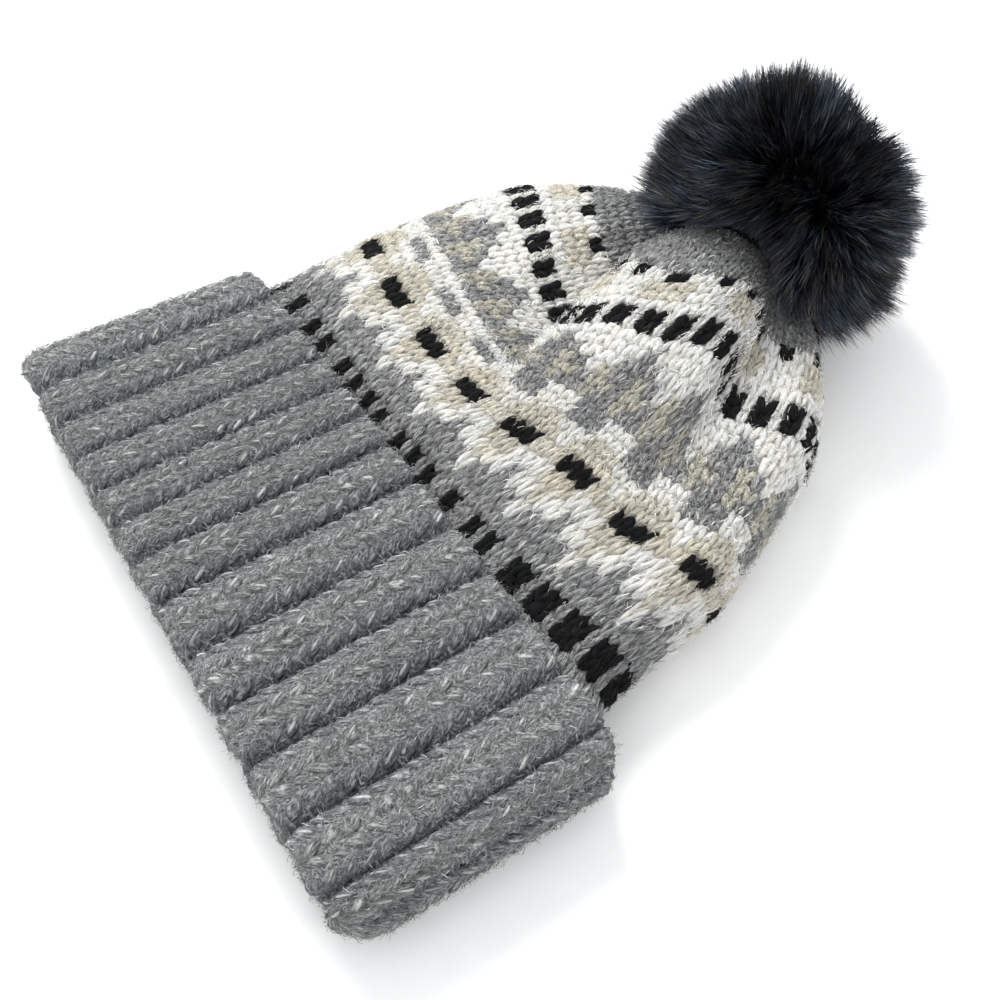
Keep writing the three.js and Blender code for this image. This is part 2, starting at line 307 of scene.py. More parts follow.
# ---- the band's surface --------------------------------------------------
CUFF_WIDTH, CUFF_AT, CUFF_FOLD_AT, CUFF_ROUND, FOLD_ROUND = 224.0, -1.5, -2.5, 5.0, 9.0
CUFF_THICK, CUFF_TOP_LEFT, CUFF_TOP_RIGHT, CUFF_TAPER = 32.0, 80.0, 87.0, 6.0
HEM_LEFT, HEM_RIGHT, LAYERS = 68.0, 78.0, 10.2
HALF = CUFF_THICK / 2
STRAIGHT, BEND = CUFF_WIDTH - CUFF_THICK, math.pi * CUFF_THICK / 2
AROUND = 2 * STRAIGHT + 2 * BEND
GROOVES_TOP = [6.5, 22, 38, 53, 67, 81, 95, 111, 131, 150, 168, 189, 210]
GROOVES_UNDER = 15


def groove_runs():
    runs = []
    for place in GROOVES_TOP:
        u = place - CUFF_AT
        if u < HALF:
            runs.append(-HALF * math.acos(max(0.0, u / HALF)))
        elif u > CUFF_WIDTH - HALF:
            runs.append(STRAIGHT + HALF * math.asin(min(1.0, (u - CUFF_WIDTH + HALF) / HALF)))
        else:
            runs.append(u - HALF)
    first, last = runs[0] + AROUND, runs[-1]
    for i in range(1, GROOVES_UNDER + 2):
        runs.append(last + (first - last) * i / (GROOVES_UNDER + 2))
    return np.array(runs)


GROOVES = groove_runs()
RIBS = len(GROOVES)


def loop_point(run, inset):
    s = np.mod(run, AROUND)
    r = HALF - inset
    u, z = np.empty_like(s), np.empty_like(s)
    a = s < STRAIGHT
    b = ~a & (s < STRAIGHT + BEND)
    c = ~a & ~b & (s < 2 * STRAIGHT + BEND)
    d = ~(a | b | c)
    u[a], z[a] = HALF + s[a], HALF + r[a]
    t = (s[b] - STRAIGHT) / HALF
    u[b], z[b] = CUFF_WIDTH - HALF + r[b] * np.sin(t), HALF + r[b] * np.cos(t)
    u[c], z[c] = CUFF_WIDTH - HALF - (s[c] - STRAIGHT - BEND), HALF - r[c]
    t = (s[d] - 2 * STRAIGHT - BEND) / HALF
    u[d], z[d] = HALF - r[d] * np.sin(t), HALF - r[d] * np.cos(t)
    return u, z


FOLD_R = LAYERS / 2
FOLD_RUN = math.pi * FOLD_R / 2  # half of the fold's length
EDGE_R = 2.4


def band_top(u):
    return CUFF_TOP_LEFT + (CUFF_TOP_RIGHT - CUFF_TOP_LEFT) * u / CUFF_WIDTH


def band_point(rib, s):
    """A point of the ribbed band. rib counts the ribs round; s runs in mm from the fold up the outside, minus inwards."""
    k = np.floor(rib).astype(int)
    x = rib - k
    here = GROOVES[k % RIBS]
    after = np.where((k % RIBS) + 1 < RIBS, GROOVES[(k + 1) % RIBS], GROOVES[0] + AROUND)
    run = here + (after - here) * x
    wide = after - here
    # two knitted wales stand side by side on each rib, and the purl wale sinks between ribs
    crest = np.clip(np.sin(np.pi * x), 0, 1) ** 0.52
    dip = 0.10 * np.exp(-(((x - 0.5) / 0.07) ** 2))
    depth = 4.9 * np.clip(wide / 15.5, 0.8, 1.15)
    u0, _ = loop_point(run, np.zeros_like(run))
    top = band_top(u0)
    arc = FOLD_RUN
    outer = s > arc
    inner = s < -arc
    phi = (arc - s) / FOLD_R
    v = np.where(outer, FOLD_R + (s - arc), np.where(inner, FOLD_R - s - arc, FOLD_R - FOLD_R * np.sin(np.clip(phi, 0, np.pi))))
    inset = np.where(outer, 0.0, np.where(inner, LAYERS, FOLD_R - FOLD_R * np.cos(np.clip(phi, 0, np.pi))))
    # the top edge of the outside rolls over a little
    over = np.clip(v - (top - EDGE_R), 0, None)
    roll = np.clip(over / EDGE_R, 0, math.pi / 2)
    v = np.where(outer & (over > 0), top - EDGE_R + EDGE_R * np.sin(roll), v)
    inset = np.where(outer & (over > 0), EDGE_R * (1 - np.cos(roll)), inset)
    groove = (1 - crest + dip) * depth
    side = np.where(outer, 1.0, np.where(inner, 0.35, 0.35 + 0.65 * (np.cos(np.clip(phi, 0, np.pi)) * 0.5 + 0.5)))
    # inside, the relief runs the other way about: what was a rib's groove outside is a low rib there
    relief = np.where(inner, -(crest - 0.5) * -1.2, groove * side)
    u, z = loop_point(run, np.clip(inset + relief, None, HALF - 0.5))
    lean = (1 - u / CUFF_WIDTH) * CUFF_TAPER * (v / CUFF_TOP_LEFT)
    end = np.maximum(0, np.abs(2 * u - CUFF_WIDTH) / 2 - CUFF_WIDTH / 2 + HALF) / HALF
    share = v / CUFF_TOP_LEFT
    # each rib bulges out at the fold
    bulge = np.where(s > -arc, (1 - crest) * 2.4 * np.exp(-((s / 9.0) ** 2)), 0)
    fold = (CUFF_FOLD_AT + FOLD_ROUND * end * end) * (1 - share)
    return np.stack([u + CUFF_AT + lean, v + fold - CUFF_ROUND * end * end * share + bulge, z], -1)


BAND_STEP = 1.0
BAND_FROM, BAND_TO = -80.0, 96.0
PER_RIB = 24
_s = np.arange(BAND_FROM, BAND_TO + 0.01, BAND_STEP)
_rib = np.arange(RIBS * PER_RIB) / PER_RIB
BAND = band_point(*[g.astype(float) for g in np.meshgrid(_rib, _s)])
_round = np.roll(BAND, -1, 1) - np.roll(BAND, 1, 1)
_along = np.gradient(BAND, axis=0)
BAND_OUT = unit(smoothed(unit(np.cross(_round, _along)), 1))
BAND_TOPS = band_top(loop_point(np.interp(_rib, np.arange(RIBS + 1), np.r_[GROOVES, GROOVES[0] + AROUND]), 0 * _rib)[0])
# the highest s of the outside, rib by rib
BAND_END = BAND_TOPS - EDGE_R - FOLD_R + FOLD_RUN + EDGE_R * math.pi / 2


def band_place(rib, s, height):
    ring = rib * PER_RIB
    return (
        look_up(BAND, s, ring, BAND_FROM, BAND_STEP)
        + look_up(BAND_OUT, s, ring, BAND_FROM, BAND_STEP) * height[..., None]
    )


# ---- mesh helpers --------------------------------------------------------
def build(name, points, quads, tris, material, maps=None, point_data=None, nodes=()):
    mesh = bpy.data.meshes.new(name)
    quads = np.asarray(quads, dtype=np.int32).reshape(-1, 4)
    tris = np.asarray(tris, dtype=np.int32).reshape(-1, 3)
    loops = np.concatenate([quads.ravel(), tris.ravel()])
    starts = np.concatenate([np.arange(len(quads)) * 4, len(quads) * 4 + np.arange(len(tris)) * 3])
    mesh.vertices.add(len(points))
    mesh.vertices.foreach_set("co", metres(points).astype(np.float32).ravel())
    mesh.loops.add(len(loops))
    mesh.loops.foreach_set("vertex_index", loops.astype(np.int32))
    mesh.polygons.add(len(starts))
    mesh.polygons.foreach_set("loop_start", starts.astype(np.int32))
    mesh.update(calc_edges=True)
    for key, uv in (maps or {}).items():
        layer = mesh.uv_layers.new(name=key)
        layer.uv.foreach_set("vector", np.asarray(uv, dtype=np.float32).ravel())
    for key, data in (point_data or {}).items():
        data = np.asarray(data, dtype=np.float32)
        if data.ndim == 1:
            mesh.attributes.new(key, "FLOAT", "POINT").data.foreach_set("value", data)
        else:
            rgba = np.concatenate([data, np.ones((len(data), 1), np.float32)], 1)
            mesh.attributes.new(key, "FLOAT_COLOR", "POINT").data.foreach_set("color", rgba.ravel())
    mesh.shade_smooth()
    mesh.materials.append(material)
    piece = bpy.data.objects.new(name, mesh)
    bpy.context.scene.collection.objects.link(piece)
    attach(piece, "root")
    if nodes:
        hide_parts(*nodes)
    return piece


def cell_map(count, inside):
    """A map that gives each strand a cell of its own; inside is the loops' place in a strand, (loops, 2)."""
    side = int(math.ceil(math.sqrt(count)))
    k = np.arange(count)
    corner = np.stack([k % side, k // side], -1)[:, None, :]
    return (corner + 0.08 + 0.84 * inside[None]) / side


def yarn_mesh(place, x, y, h, wide, thick, sx, sy, around, rng):
    """Short lengths of yarn laid on a surface. x, y and h are (strands, samples), the first and last sample its tips."""
    n, m = x.shape
    rings = m - 2
    tx, ty = np.gradient(x, axis=1) * sx, np.gradient(y, axis=1) * sy
    size = np.maximum(np.hypot(tx, ty), 1e-9)
    px, py = ty / size, -tx / size
    turn = 2 * np.pi * np.arange(around) / around
    c, s = np.cos(turn), np.sin(turn)
    mid = slice(1, m - 1)
    X = x[:, mid, None] + (px * wide / sx)[:, mid, None] * c
    Y = y[:, mid, None] + (py * wide / sy)[:, mid, None] * c
    H = h[:, mid, None] + thick[:, mid, None] * s
    gather = lambda body, line: np.concatenate([body.reshape(n, -1), line[:, :1], line[:, -1:]], 1)
    X, Y, H = gather(X, x), gather(Y, y), gather(H, h)
    points = place(X, Y, H)
    per = rings * around + 2
    quads, tris, quad_at, tri_at = [], [], [], []
    for r in range(rings - 1):
        for k in range(around):
            a, b = r * around + k, r * around + (k + 1) % around
            quads.append([a, a + around, b + around, b])
            quad_at += [(k, r), (k, r + 1), (k + 1, r + 1), (k + 1, r)]
    for k in range(around):
        a, b = k, (k + 1) % around
        tris.append([per - 2, a, b])
        tri_at += [(k + 0.5, -1), (k, 0), (k + 1, 0)]
        a, b = (rings - 1) * around + k, (rings - 1) * around + (k + 1) % around
        tris.append([per - 1, b, a])
        tri_at += [(k + 0.5, rings), (k + 1, rings - 1), (k, rings - 1)]
    base = (np.arange(n) * per)[:, None, None]
    quads = (np.array(quads)[None] + base).reshape(-1, 4)
    tris = (np.array(tris)[None] + base).reshape(-1, 3)
    spots = lambda at: (np.array(at, float) + [0, 1]) / [around, rings + 1]
    q_in, t_in = spots(quad_at), spots(tri_at)
    bake = np.concatenate([cell_map(n, q_in).reshape(-1, 2), cell_map(n, t_in).reshape(-1, 2)])
    shift = rng.random((n, 1, 2)) * [40, 90]
    scale = np.array([6.5, 7.0])
    strand = np.concatenate([(q_in[None] * scale + shift).reshape(-1, 2), (t_in[None] * scale + shift).reshape(-1, 2)])
    return points.reshape(-1, 3), quads, tris, {"OFBake": bake, "strand": strand}, per


def slivers(name, place, legs, pick, wide, colour, material, nodes, rng):
    """Light plies of the marled yarn that lie on top of some of the stitches."""
    x, y, h, thick, sx, sy = (np.broadcast_to(a, (len(pick), a.shape[1]))[pick] for a in legs)
    n, m = x.shape
    from_, to = rng.uniform(0.12, 0.32, n), rng.uniform(0.62, 0.88, n)
    at = from_[:, None] + (to - from_)[:, None] * np.linspace(0, 1, 5)[None]
    line = lambda a: np.stack([np.interp(at[k], np.linspace(0, 1, m), a[k]) for k in range(n)])
    X, Y, H, T = line(x), line(y), line(h), line(thick)
    X = X + rng.normal(0, 0.25, (n, 1)) / sx[:, :1]
    body = np.sin(np.pi * np.linspace(0.12, 0.88, 5))[None]
    H = H + T * 0.86 + 0.10
    W = wide * rng.uniform(0.6, 1.3, (n, 1)) * body
    points, quads, tris, maps, per = yarn_mesh(place, X, Y, H, W, 0.55 * W, sx[:, :1], sy[:, :1], 4, rng)
    tone = np.repeat(colour * rng.uniform(0.7, 1.05, (n, 1)), per, 0)
    points[:, 2] = np.maximum(points[:, 2], 0.15)
    build(name, points, quads, tris, material, maps, {"yarn": tone, "marl": np.full(n * per, 0.1)}, nodes)


def hair_mesh(path, width, side):
    """Tapered hairs as narrow ribbons. path is (hairs, samples, 3), side (hairs, 3)."""
    n, m = path.shape[:2]
    half = side[:, None, :] * (width / 2)[..., None]
    left, right = path[:, :-1] - half[:, :-1], path[:, :-1] + half[:, :-1]
    points = np.concatenate([np.stack([left, right], 2).reshape(n, -1, 3), path[:, -1:]], 1)
    per = 2 * (m - 1) + 1
    quads, tris, quad_at, tri_at = [], [], [], []
    for r in range(m - 2):
        quads.append([2 * r, 2 * r + 1, 2 * r + 3, 2 * r + 2])
        quad_at += [(0, r), (1, r), (1, r + 1), (0, r + 1)]
    tris.append([2 * (m - 2), 2 * (m - 2) + 1, per - 1])
    tri_at += [(0, m - 2), (1, m - 2), (0.5, m - 1)]
    base = (np.arange(n) * per)[:, None, None]
    quads = (np.array(quads)[None] + base).reshape(-1, 4)
    tris = (np.array(tris)[None] + base).reshape(-1, 3)
    q_in, t_in = np.array(quad_at, float) / [1, m - 1], np.array(tri_at, float) / [1, m - 1]
    bake = np.concatenate([cell_map(n, q_in).reshape(-1, 2), cell_map(n, t_in).reshape(-1, 2)])
    return points.reshape(-1, 3), quads, tris, {"OFBake": bake}, per


# ---- materials -----------------------------------------------------------
def new_material(name):
    material = bpy.data.materials.new(name)
    material.use_nodes = True
    tree = material.node_tree
    return material, tree, tree.nodes["Principled BSDF"]


def node(tree, kind, **settings):
    made = tree.nodes.new(kind)
    for key, value in settings.items():
        setattr(made, key, value)
    return made


def ramp(tree, source, stops):
    made = node(tree, "ShaderNodeValToRGB")
    cr = made.color_ramp
    while len(cr.elements) < len(stops):
        cr.elements.new(0.5)
    for element, (at, value) in zip(cr.elements, stops):
        element.position = at
        element.color = (value, value, value, 1) if np.isscalar(value) else (*value, 1)
    tree.links.new(source, made.inputs[0])
    return made.outputs[0]


def noise(tree, vector, scale, detail=2.0, rough=0.5, stretch=None):
    if stretch is not None:
        mapping = node(tree, "ShaderNodeMapping")
        mapping.inputs["Scale"].default_value = stretch
        tree.links.new(vector, mapping.inputs["Vector"])
        vector = mapping.outputs[0]
    made = node(tree, "ShaderNodeTexNoise")
    made.inputs["Scale"].default_value = scale
    made.inputs["Detail"].default_value = detail
    made.inputs["Roughness"].default_value = rough
    tree.links.new(vector, made.inputs["Vector"])
    return made.outputs["Fac"]


def mix(tree, factor, a, b, mode="MIX"):
    made = node(tree, "ShaderNodeMix", data_type="RGBA", blend_type=mode)
    for socket, value in ((made.inputs[0], factor), (made.inputs[6], a), (made.inputs[7], b)):
        if hasattr(value, "links"):
            tree.links.new(value, socket)
        elif np.isscalar(value):
            socket.default_value = value
        else:
            socket.default_value = (*value, 1)
    return made.outputs[2]


def math_node(tree, kind, a, b):
    made = node(tree, "ShaderNodeMath", operation=kind)
    for socket, value in ((made.inputs[0], a), (made.inputs[1], b)):
        if hasattr(value, "links"):
            tree.links.new(value, socket)
        else:
            socket.default_value = value
    return made.outputs[0]


def wool(name, fleck, ply=0.5, sheen=0.04):
    """Woollen yarn. Its colour comes with the stitches; marl says how mixed the fibres are."""
    material, tree, shader = new_material(name)
    strand = node(tree, "ShaderNodeUVMap", uv_map="strand").outputs[0]
    colour = node(tree, "ShaderNodeAttribute", attribute_name="yarn").outputs["Color"]
    marl = node(tree, "ShaderNodeAttribute", attribute_name="marl").outputs["Fac"]
    place = node(tree, "ShaderNodeTexCoord").outputs["Object"]
    fibres = noise(tree, strand, 1.0, 3.0, 0.7, (2.6, 0.75, 1))
    shade = ramp(tree, fibres, [(0.38, 0.34), (0.47, 0.78), (0.54, 1.15), (0.63, 2.0)])
    mixed = mix(tree, 1.0, colour, shade, "MULTIPLY")
    body = mix(tree, marl, mix(tree, 1.0, colour, ramp(tree, fibres, [(0.36, 0.80), (0.6, 1.05)]), "MULTIPLY"), mixed)
    sliver = noise(tree, strand, 1.0, 1.0, 0.4, (1.15, 0.30, 1))
    light = math_node(tree, "MULTIPLY", ramp(tree, sliver, [(0.62, 0.0), (0.65, 0.8)]), marl)
    body = mix(tree, light, body, fleck)
    cloud = ramp(tree, noise(tree, place, 90.0, 2.0), [(0.3, 0.90), (0.7, 1.08)])
    body = mix(tree, 1.0, body, cloud, "MULTIPLY")
    tree.links.new(body, shader.inputs["Base Color"])
    tree.links.new(ramp(tree, fibres, [(0.2, 0.82), (0.8, 1.0)]), shader.inputs["Roughness"])
    shader.inputs["Specular IOR Level"].default_value = 0.03
    shader.inputs["Sheen Weight"].default_value = sheen
    shader.inputs["Sheen Roughness"].default_value = 0.7
    twist = node(tree, "ShaderNodeTexWave", wave_type="BANDS", bands_direction="X")
    turned = node(tree, "ShaderNodeMapping")
    turned.inputs["Rotation"].default_value = (0, 0, 0.55)
    tree.links.new(strand, turned.inputs["Vector"])
    tree.links.new(turned.outputs[0], twist.inputs["Vector"])
    twist.inputs["Scale"].default_value = 0.22
    twist.inputs["Distortion"].default_value = 2.0
    fine = noise(tree, strand, 1.0, 4.0, 0.7, (5.0, 1.3, 1))
    height = math_node(tree, "ADD", math_node(tree, "MULTIPLY", twist.outputs["Fac"], ply), fine)
    bump = node(tree, "ShaderNodeBump")
    bump.inputs["Strength"].default_value = 1.0
    bump.inputs["Distance"].default_value = 0.0007
    tree.links.new(height, bump.inputs["Height"])
    tree.links.new(bump.outputs[0], shader.inputs["Normal"])
    return material


def backing(name):
    """The fabric behind the stitches: the same yarn, in shadow, with its purl ridges."""
    material, tree, shader = new_material(name)
    colour = node(tree, "ShaderNodeAttribute", attribute_name="yarn").outputs["Color"]
    place = node(tree, "ShaderNodeTexCoord").outputs["Object"]
    grain = noise(tree, place, 900.0, 3.0, 0.6)
    body = mix(tree, 1.0, colour, ramp(tree, grain, [(0.38, 0.6), (0.62, 1.3)]), "MULTIPLY")
    tree.links.new(body, shader.inputs["Base Color"])
    tree.links.new(ramp(tree, grain, [(0.2, 0.88), (0.8, 1.0)]), shader.inputs["Roughness"])
    shader.inputs["Specular IOR Level"].default_value = 0.03
    shader.inputs["Sheen Weight"].default_value = 0.05
    strand = node(tree, "ShaderNodeUVMap", uv_map="strand").outputs[0]
    ridges = node(tree, "ShaderNodeTexWave", wave_type="BANDS", bands_direction="Y")
    ridges.inputs["Scale"].default_value = 0.314
    ridges.inputs["Distortion"].default_value = 1.0
    tree.links.new(strand, ridges.inputs["Vector"])
    bump = node(tree, "ShaderNodeBump")
    bump.inputs["Strength"].default_value = 0.7
    bump.inputs["Distance"].default_value = 0.0009
    tree.links.new(math_node(tree, "ADD", ridges.outputs["Fac"], grain), bump.inputs["Height"])
    tree.links.new(bump.outputs[0], shader.inputs["Normal"])
    return material


def fur(name):
    material, tree, shader = new_material(name)
    colour = node(tree, "ShaderNodeAttribute", attribute_name="yarn").outputs["Color"]
    place = node(tree, "ShaderNodeTexCoord").outputs["Object"]
    tone = ramp(tree, noise(tree, place, 160.0, 2.0), [(0.3, 0.75), (0.7, 1.25)])
    tree.links.new(mix(tree, 1.0, colour, tone, "MULTIPLY"), shader.inputs["Base Color"])
    tree.links.new(ramp(tree, noise(tree, place, 300.0, 1.0), [(0.3, 0.40), (0.7, 0.6)]), shader.inputs["Roughness"])
    shader.inputs["Specular IOR Level"].default_value = 0.13
    return material


# ---- crown: the chart ----------------------------------------------------
GREY, WHITE, BEIGE, SAGE, BLACK = range(5)
YARNS = np.array(
    [
        linear(145, 146, 146),
        linear(243, 242, 237),
        linear(214, 209, 194),
        linear(190, 187, 173),
        linear(10, 12, 15),
    ]
)
MARL = np.array([1.0, 0.04, 0.35, 0.8, 0.04])
# wales of the single dots along the band; further round they are two wales wide
DOTS = [1, 5, 8, 10, 13, 15, 17, 19, 22, 24, 26, 29, 32, 34]


def chart(row, wale):
    """The colour of each stitch. Diamonds repeat every six wales, with their middle on wale 3."""
    row, wale = np.broadcast_arrays(np.asarray(row), np.asarray(wale))
    d = np.mod(wale - 3, 6)
    d = np.minimum(d, 6 - d)
    third = np.mod(wale, 3)
    out = np.full(row.shape, GREY)

    def put(rows, where, yarn):
        out[np.isin(row, rows) & where] = yarn

    put([-3, -2], np.isin(wale, DOTS), BLACK)
    put([-3, -2], (wale >= 36) & (third != 0), BLACK)
    put([0], d == 0, WHITE)
    put([1], d == 0, BEIGE)
    put([1], (d == 1) | (d == 2), WHITE)
    put([2], d <= 1, BEIGE)
    put([2], d >= 2, WHITE)
    put([3], d <= 1, BLACK)
    put([3], d >= 2, BEIGE)
    put([4], d <= 2, BEIGE)
    put([4], d == 3, WHITE)
    put([5], d <= 1, BEIGE)
    put([5], d >= 2, WHITE)
    put([6], d <= 1, WHITE)
    put([7], (wale < 20) | (d <= 1), WHITE)
    put([8, 10], third == 1, SAGE)
    put([9], third != 0, SAGE)
    put([10], d == 0, WHITE)
    put([11], d <= 1, WHITE)
    put([12], d <= 2, WHITE)
    put([13, 16], d >= 0, WHITE)
    put([14, 15], np.mod(wale, 2) == 0, BLACK)
    put([14, 15], np.mod(wale, 2) == 1, WHITE)
    put([17, 18], d <= 1, BEIGE)
    put([17, 18], d >= 2, WHITE)
    put([19], third == 0, BLACK)
    put([19], third != 0, WHITE)
    return out


def crown_stitches(rng):
    """Wale, row and width in wales of every stitch of the crown."""
    wales, rows, widths = [], [], []
    for row in range(-5, 31):
        step = 1 if row < 24 else 2 if row < 28 else 4
        for wale in range(-2, 100, step):
            wales.append(wale + (step - 1) / 2)
            rows.append(row)
            widths.append(step)
    wales, rows, widths = np.array(wales, float), np.array(rows, float), np.array(widths, float)
    left, right = crown_place(wales - widths / 2, rows, 0 * rows), crown_place(wales + widths / 2, rows, 0 * rows)
    size = np.linalg.norm(right - left, axis=-1)
    keep = (size > 1.5) & (rows < 30)
    return wales[keep], rows[keep], widths[keep], size[keep]


def knit(name, which, samples, around, material, rng):
    wales, rows, widths, size = (a[which] for a in STITCHES)
    n = len(wales)
    yarn = chart(rows.astype(int), np.floor(wales).astype(int))
    low = crown_place(wales, np.maximum(rows - 0.5, -6), 0 * rows)
    tall = np.linalg.norm(crown_place(wales, np.minimum(rows + 0.5, 30.4), 0 * rows) - low, axis=-1)
    tall = np.maximum(tall, 1.5)
    side = np.tile([-1.0, 1.0], n)
    twice = lambda a: np.repeat(a, 2)
    wales, rows, widths, size, tall, yarn = map(twice, (wales, rows, widths, size, tall, yarn))
    p = np.r_[0, (np.arange(samples) + 0.5) / samples, 1][None]
    grow = rng.normal(1, 0.06, (n * 2, 1))
    slip = np.repeat(rng.normal(0, 0.035, (n, 2)), 2, 0)
    a = side[:, None] * (0.03 + 0.445 * p**0.92) + slip[:, :1]
    reach = 1 + rng.normal(0, 1, (n * 2, 1)) * np.where(yarn == BLACK, 0.13, 0.04)[:, None]
    b = (-0.72 + 1.46 * p) * reach + slip[:, 1:] + rng.normal(0, 0.02, (n * 2, 1))
    # in the bands of dots the black yarn lies over the other one, which sinks between its stitches
    dotted = np.isin(rows.astype(int), [14, 15])
    lead = np.where(dotted, np.where(yarn == BLACK, 1.3, 0.7), np.where(yarn == BLACK, 1.12, 1.0))
    a = a * lead[:, None]
    x = wales[:, None] + a * widths[:, None]
    y = rows[:, None] + b
    h = -1.0 - 1.7 * np.clip(1 - p / 0.36, 0, 1) ** 2 - 1.5 * np.clip((p - 0.68) / 0.32, 0, 1) ** 2
    h = h + rng.normal(0, 0.12, (n * 2, 1)) + np.where(lead > 1, 0.25, np.where(lead < 1, -0.25, 0))[:, None]
    body = np.sin(np.pi * (0.06 + 0.88 * p)) ** 0.55
    fat = np.where(yarn == BLACK, 1.1, np.where(yarn == WHITE, 1.0, 1.02))[:, None]
    wide = np.minimum(0.265 * size, 1.95)[:, None] * body * grow * fat * lead[:, None]
    wide = wide * (1 + rng.normal(0, 0.09, wide.shape))
    thick = np.minimum(0.24 * size, 1.15)[:, None] * body * grow * fat
    sx = (size / widths)[:, None]
    sy = tall[:, None]
    y = np.clip(y, -6, 30.3)
    points, quads, tris, maps, per = yarn_mesh(crown_place, x, y, h, wide, thick, sx, sy, around, rng)
    pick = (yarn == GREY) & (rng.random(len(yarn)) < 0.16)
    slivers(
        name + "_light", crown_place, (x, y, h, thick, sx, sy), pick, 0.40, np.array([0.86, 0.87, 0.87]), material,
        ["crown"], rng,
    )  # fmt: skip
    tone = 1 + rng.normal(0, 1, (n * 2, 1)) * np.where(yarn == GREY, 0.11, 0.04)[:, None]
    warm = rng.normal(0, 0.012, (n * 2, 1)) * np.array([[1.0, 0.2, -1.2]])
    colour = np.clip(YARNS[yarn] * tone + warm * (YARNS[yarn].mean(1, keepdims=True)), 0.002, 0.95)
    # painted shade: each stitch is coloured darker towards its ends, where it dips under its neighbours
    shade = np.concatenate(
        [np.repeat(0.84 + 0.16 * np.clip(body[:, 1:-1] * 1.15, 0, 1), around, 1), np.full((1, 2), 0.75)], 1
    )
    colour = (colour[:, None, :] * shade[..., None]).reshape(-1, 3)
    marl = np.repeat(MARL[yarn] * np.clip(rng.normal(1, 0.15, n * 2), 0.4, 1.3), per)
    points[:, 2] = np.maximum(points[:, 2], 0.15)
    return build(
        name, points, quads, tris, material, maps, {"yarn": colour, "marl": marl}, ["crown"]
    )


STITCHES = crown_stitches(np.random.default_rng(3))
wool_crown = wool("crown_wool", (0.52, 0.52, 0.50))
_w = np.mod(STITCHES[0] - TOP_FROM, WALES) + TOP_FROM
_over = _w < TOP_TO
knit("crown_knit_top", _over, 5, 5, wool_crown, np.random.default_rng(11))
knit("crown_knit_under", ~_over, 3, 4, wool_crown, np.random.default_rng(12))


def crown_shell():
    """The closed wall behind the stitches, from the hem to the gathered top, with the purl side inside."""
    wales = np.arange(204) / 2 + TOP_FROM
    outer_rows = np.arange(-6, 30.3, 0.5)
    inner_rows = np.arange(-6, 27.1, 1.0)[::-1]
    rings, shades, strand = [], [], []
    for rows, depth, dark in ((inner_rows, -4.3, 0.5), (outer_rows, -1.35, 0.42)):
        W, R = np.meshgrid(wales, rows)
        taper = np.clip((30.4 - R) / 3.0, 0.15, 1)
        rings.append(crown_place(W, R, depth * (taper if dark < 0.45 else 1.0) + 0 * R))
        yarn = chart(np.round(R).astype(int), np.round(W).astype(int))
        if dark >= 0.45:
            # inside, the floats of the other yarns lie over the pattern
            yarn = np.where(np.mod(np.round(W) + np.round(R), 2) == 0, yarn, GREY)
        # painted shade: the wall seen between the stitches is coloured at 0.72 of its yarn, the inside of the hat at
        # 0.5
        shades.append(YARNS[yarn] * (0.72 if dark < 0.45 else dark))
        strand.append(np.stack([W * 4.3, R * 5.0], -1))
    points = np.concatenate([r.reshape(-1, 3) for r in rings])
    colour = np.concatenate([s.reshape(-1, 3) for s in shades])
    flat = np.concatenate([s.reshape(-1, 2) for s in strand])
    n = len(wales)
    rows = sum(len(r) for r in rings)
    r, k = np.meshgrid(np.arange(rows - 1), np.arange(n), indexing="ij")
    nxt = (k + 1) % n
    quads = np.stack([r * n + k, r * n + nxt, (r + 1) * n + nxt, (r + 1) * n + k], -1).reshape(-1, 4)
    # the ring before the hem and the ring of the hem join the inside to the outside
    inner_tip = points[:n].mean(0)
    outer_tip = points[-n:].mean(0) + [0, 0.6, 0]
    points = np.concatenate([points, [inner_tip, outer_tip]])
    colour = np.concatenate([colour, colour[:1], colour[-1:]])
    flat = np.concatenate([flat, flat[:1], flat[-1:]])
    k = np.arange(n)
    tris = np.concatenate(
        [
            np.stack([np.full(n, len(points) - 2), (k + 1) % n, k], -1),
            np.stack([np.full(n, len(points) - 1), (rows - 1) * n + k, (rows - 1) * n + (k + 1) % n], -1),
        ]
    )
    points[:, 2] = np.maximum(points[:, 2], 0.6)
    strand_loops = np.concatenate([flat[quads.ravel()], flat[tris.ravel()]])
    low, high = flat.min(0), flat.max(0)
    bake = (strand_loops - low) / (high - low)
    bake = np.stack([bake[:, 0], bake[:, 1]], -1)
    build(
        "crown_wall",
        points,
        quads,
        tris,
        backing("crown_backing"),
        {"strand": strand_loops},
        {"yarn": colour},
        ["crown"],
    )


crown_shell()


# ---- band ----------------------------------------------------------------
BAND_GREY = linear(138, 140, 140)

ROWS_OUT = 16
# painted shade: the wool is coloured darker and bluer down between the ribs, where shade falls
GROOVE_PAINTED_SHADE = np.array([0.50, 0.54, 0.58])


def band_end(rib):
    """How far up the outside a rib's cast-on edge lies, in mm from the fold."""
    return np.interp(np.mod(rib, RIBS) * PER_RIB, np.arange(len(BAND_END)), BAND_END)


def rib_width(rib):
    k = np.floor(rib).astype(int) % RIBS
    return np.where(k + 1 < RIBS, GROOVES[(k + 1) % RIBS], GROOVES[0] + AROUND) - GROOVES[k]


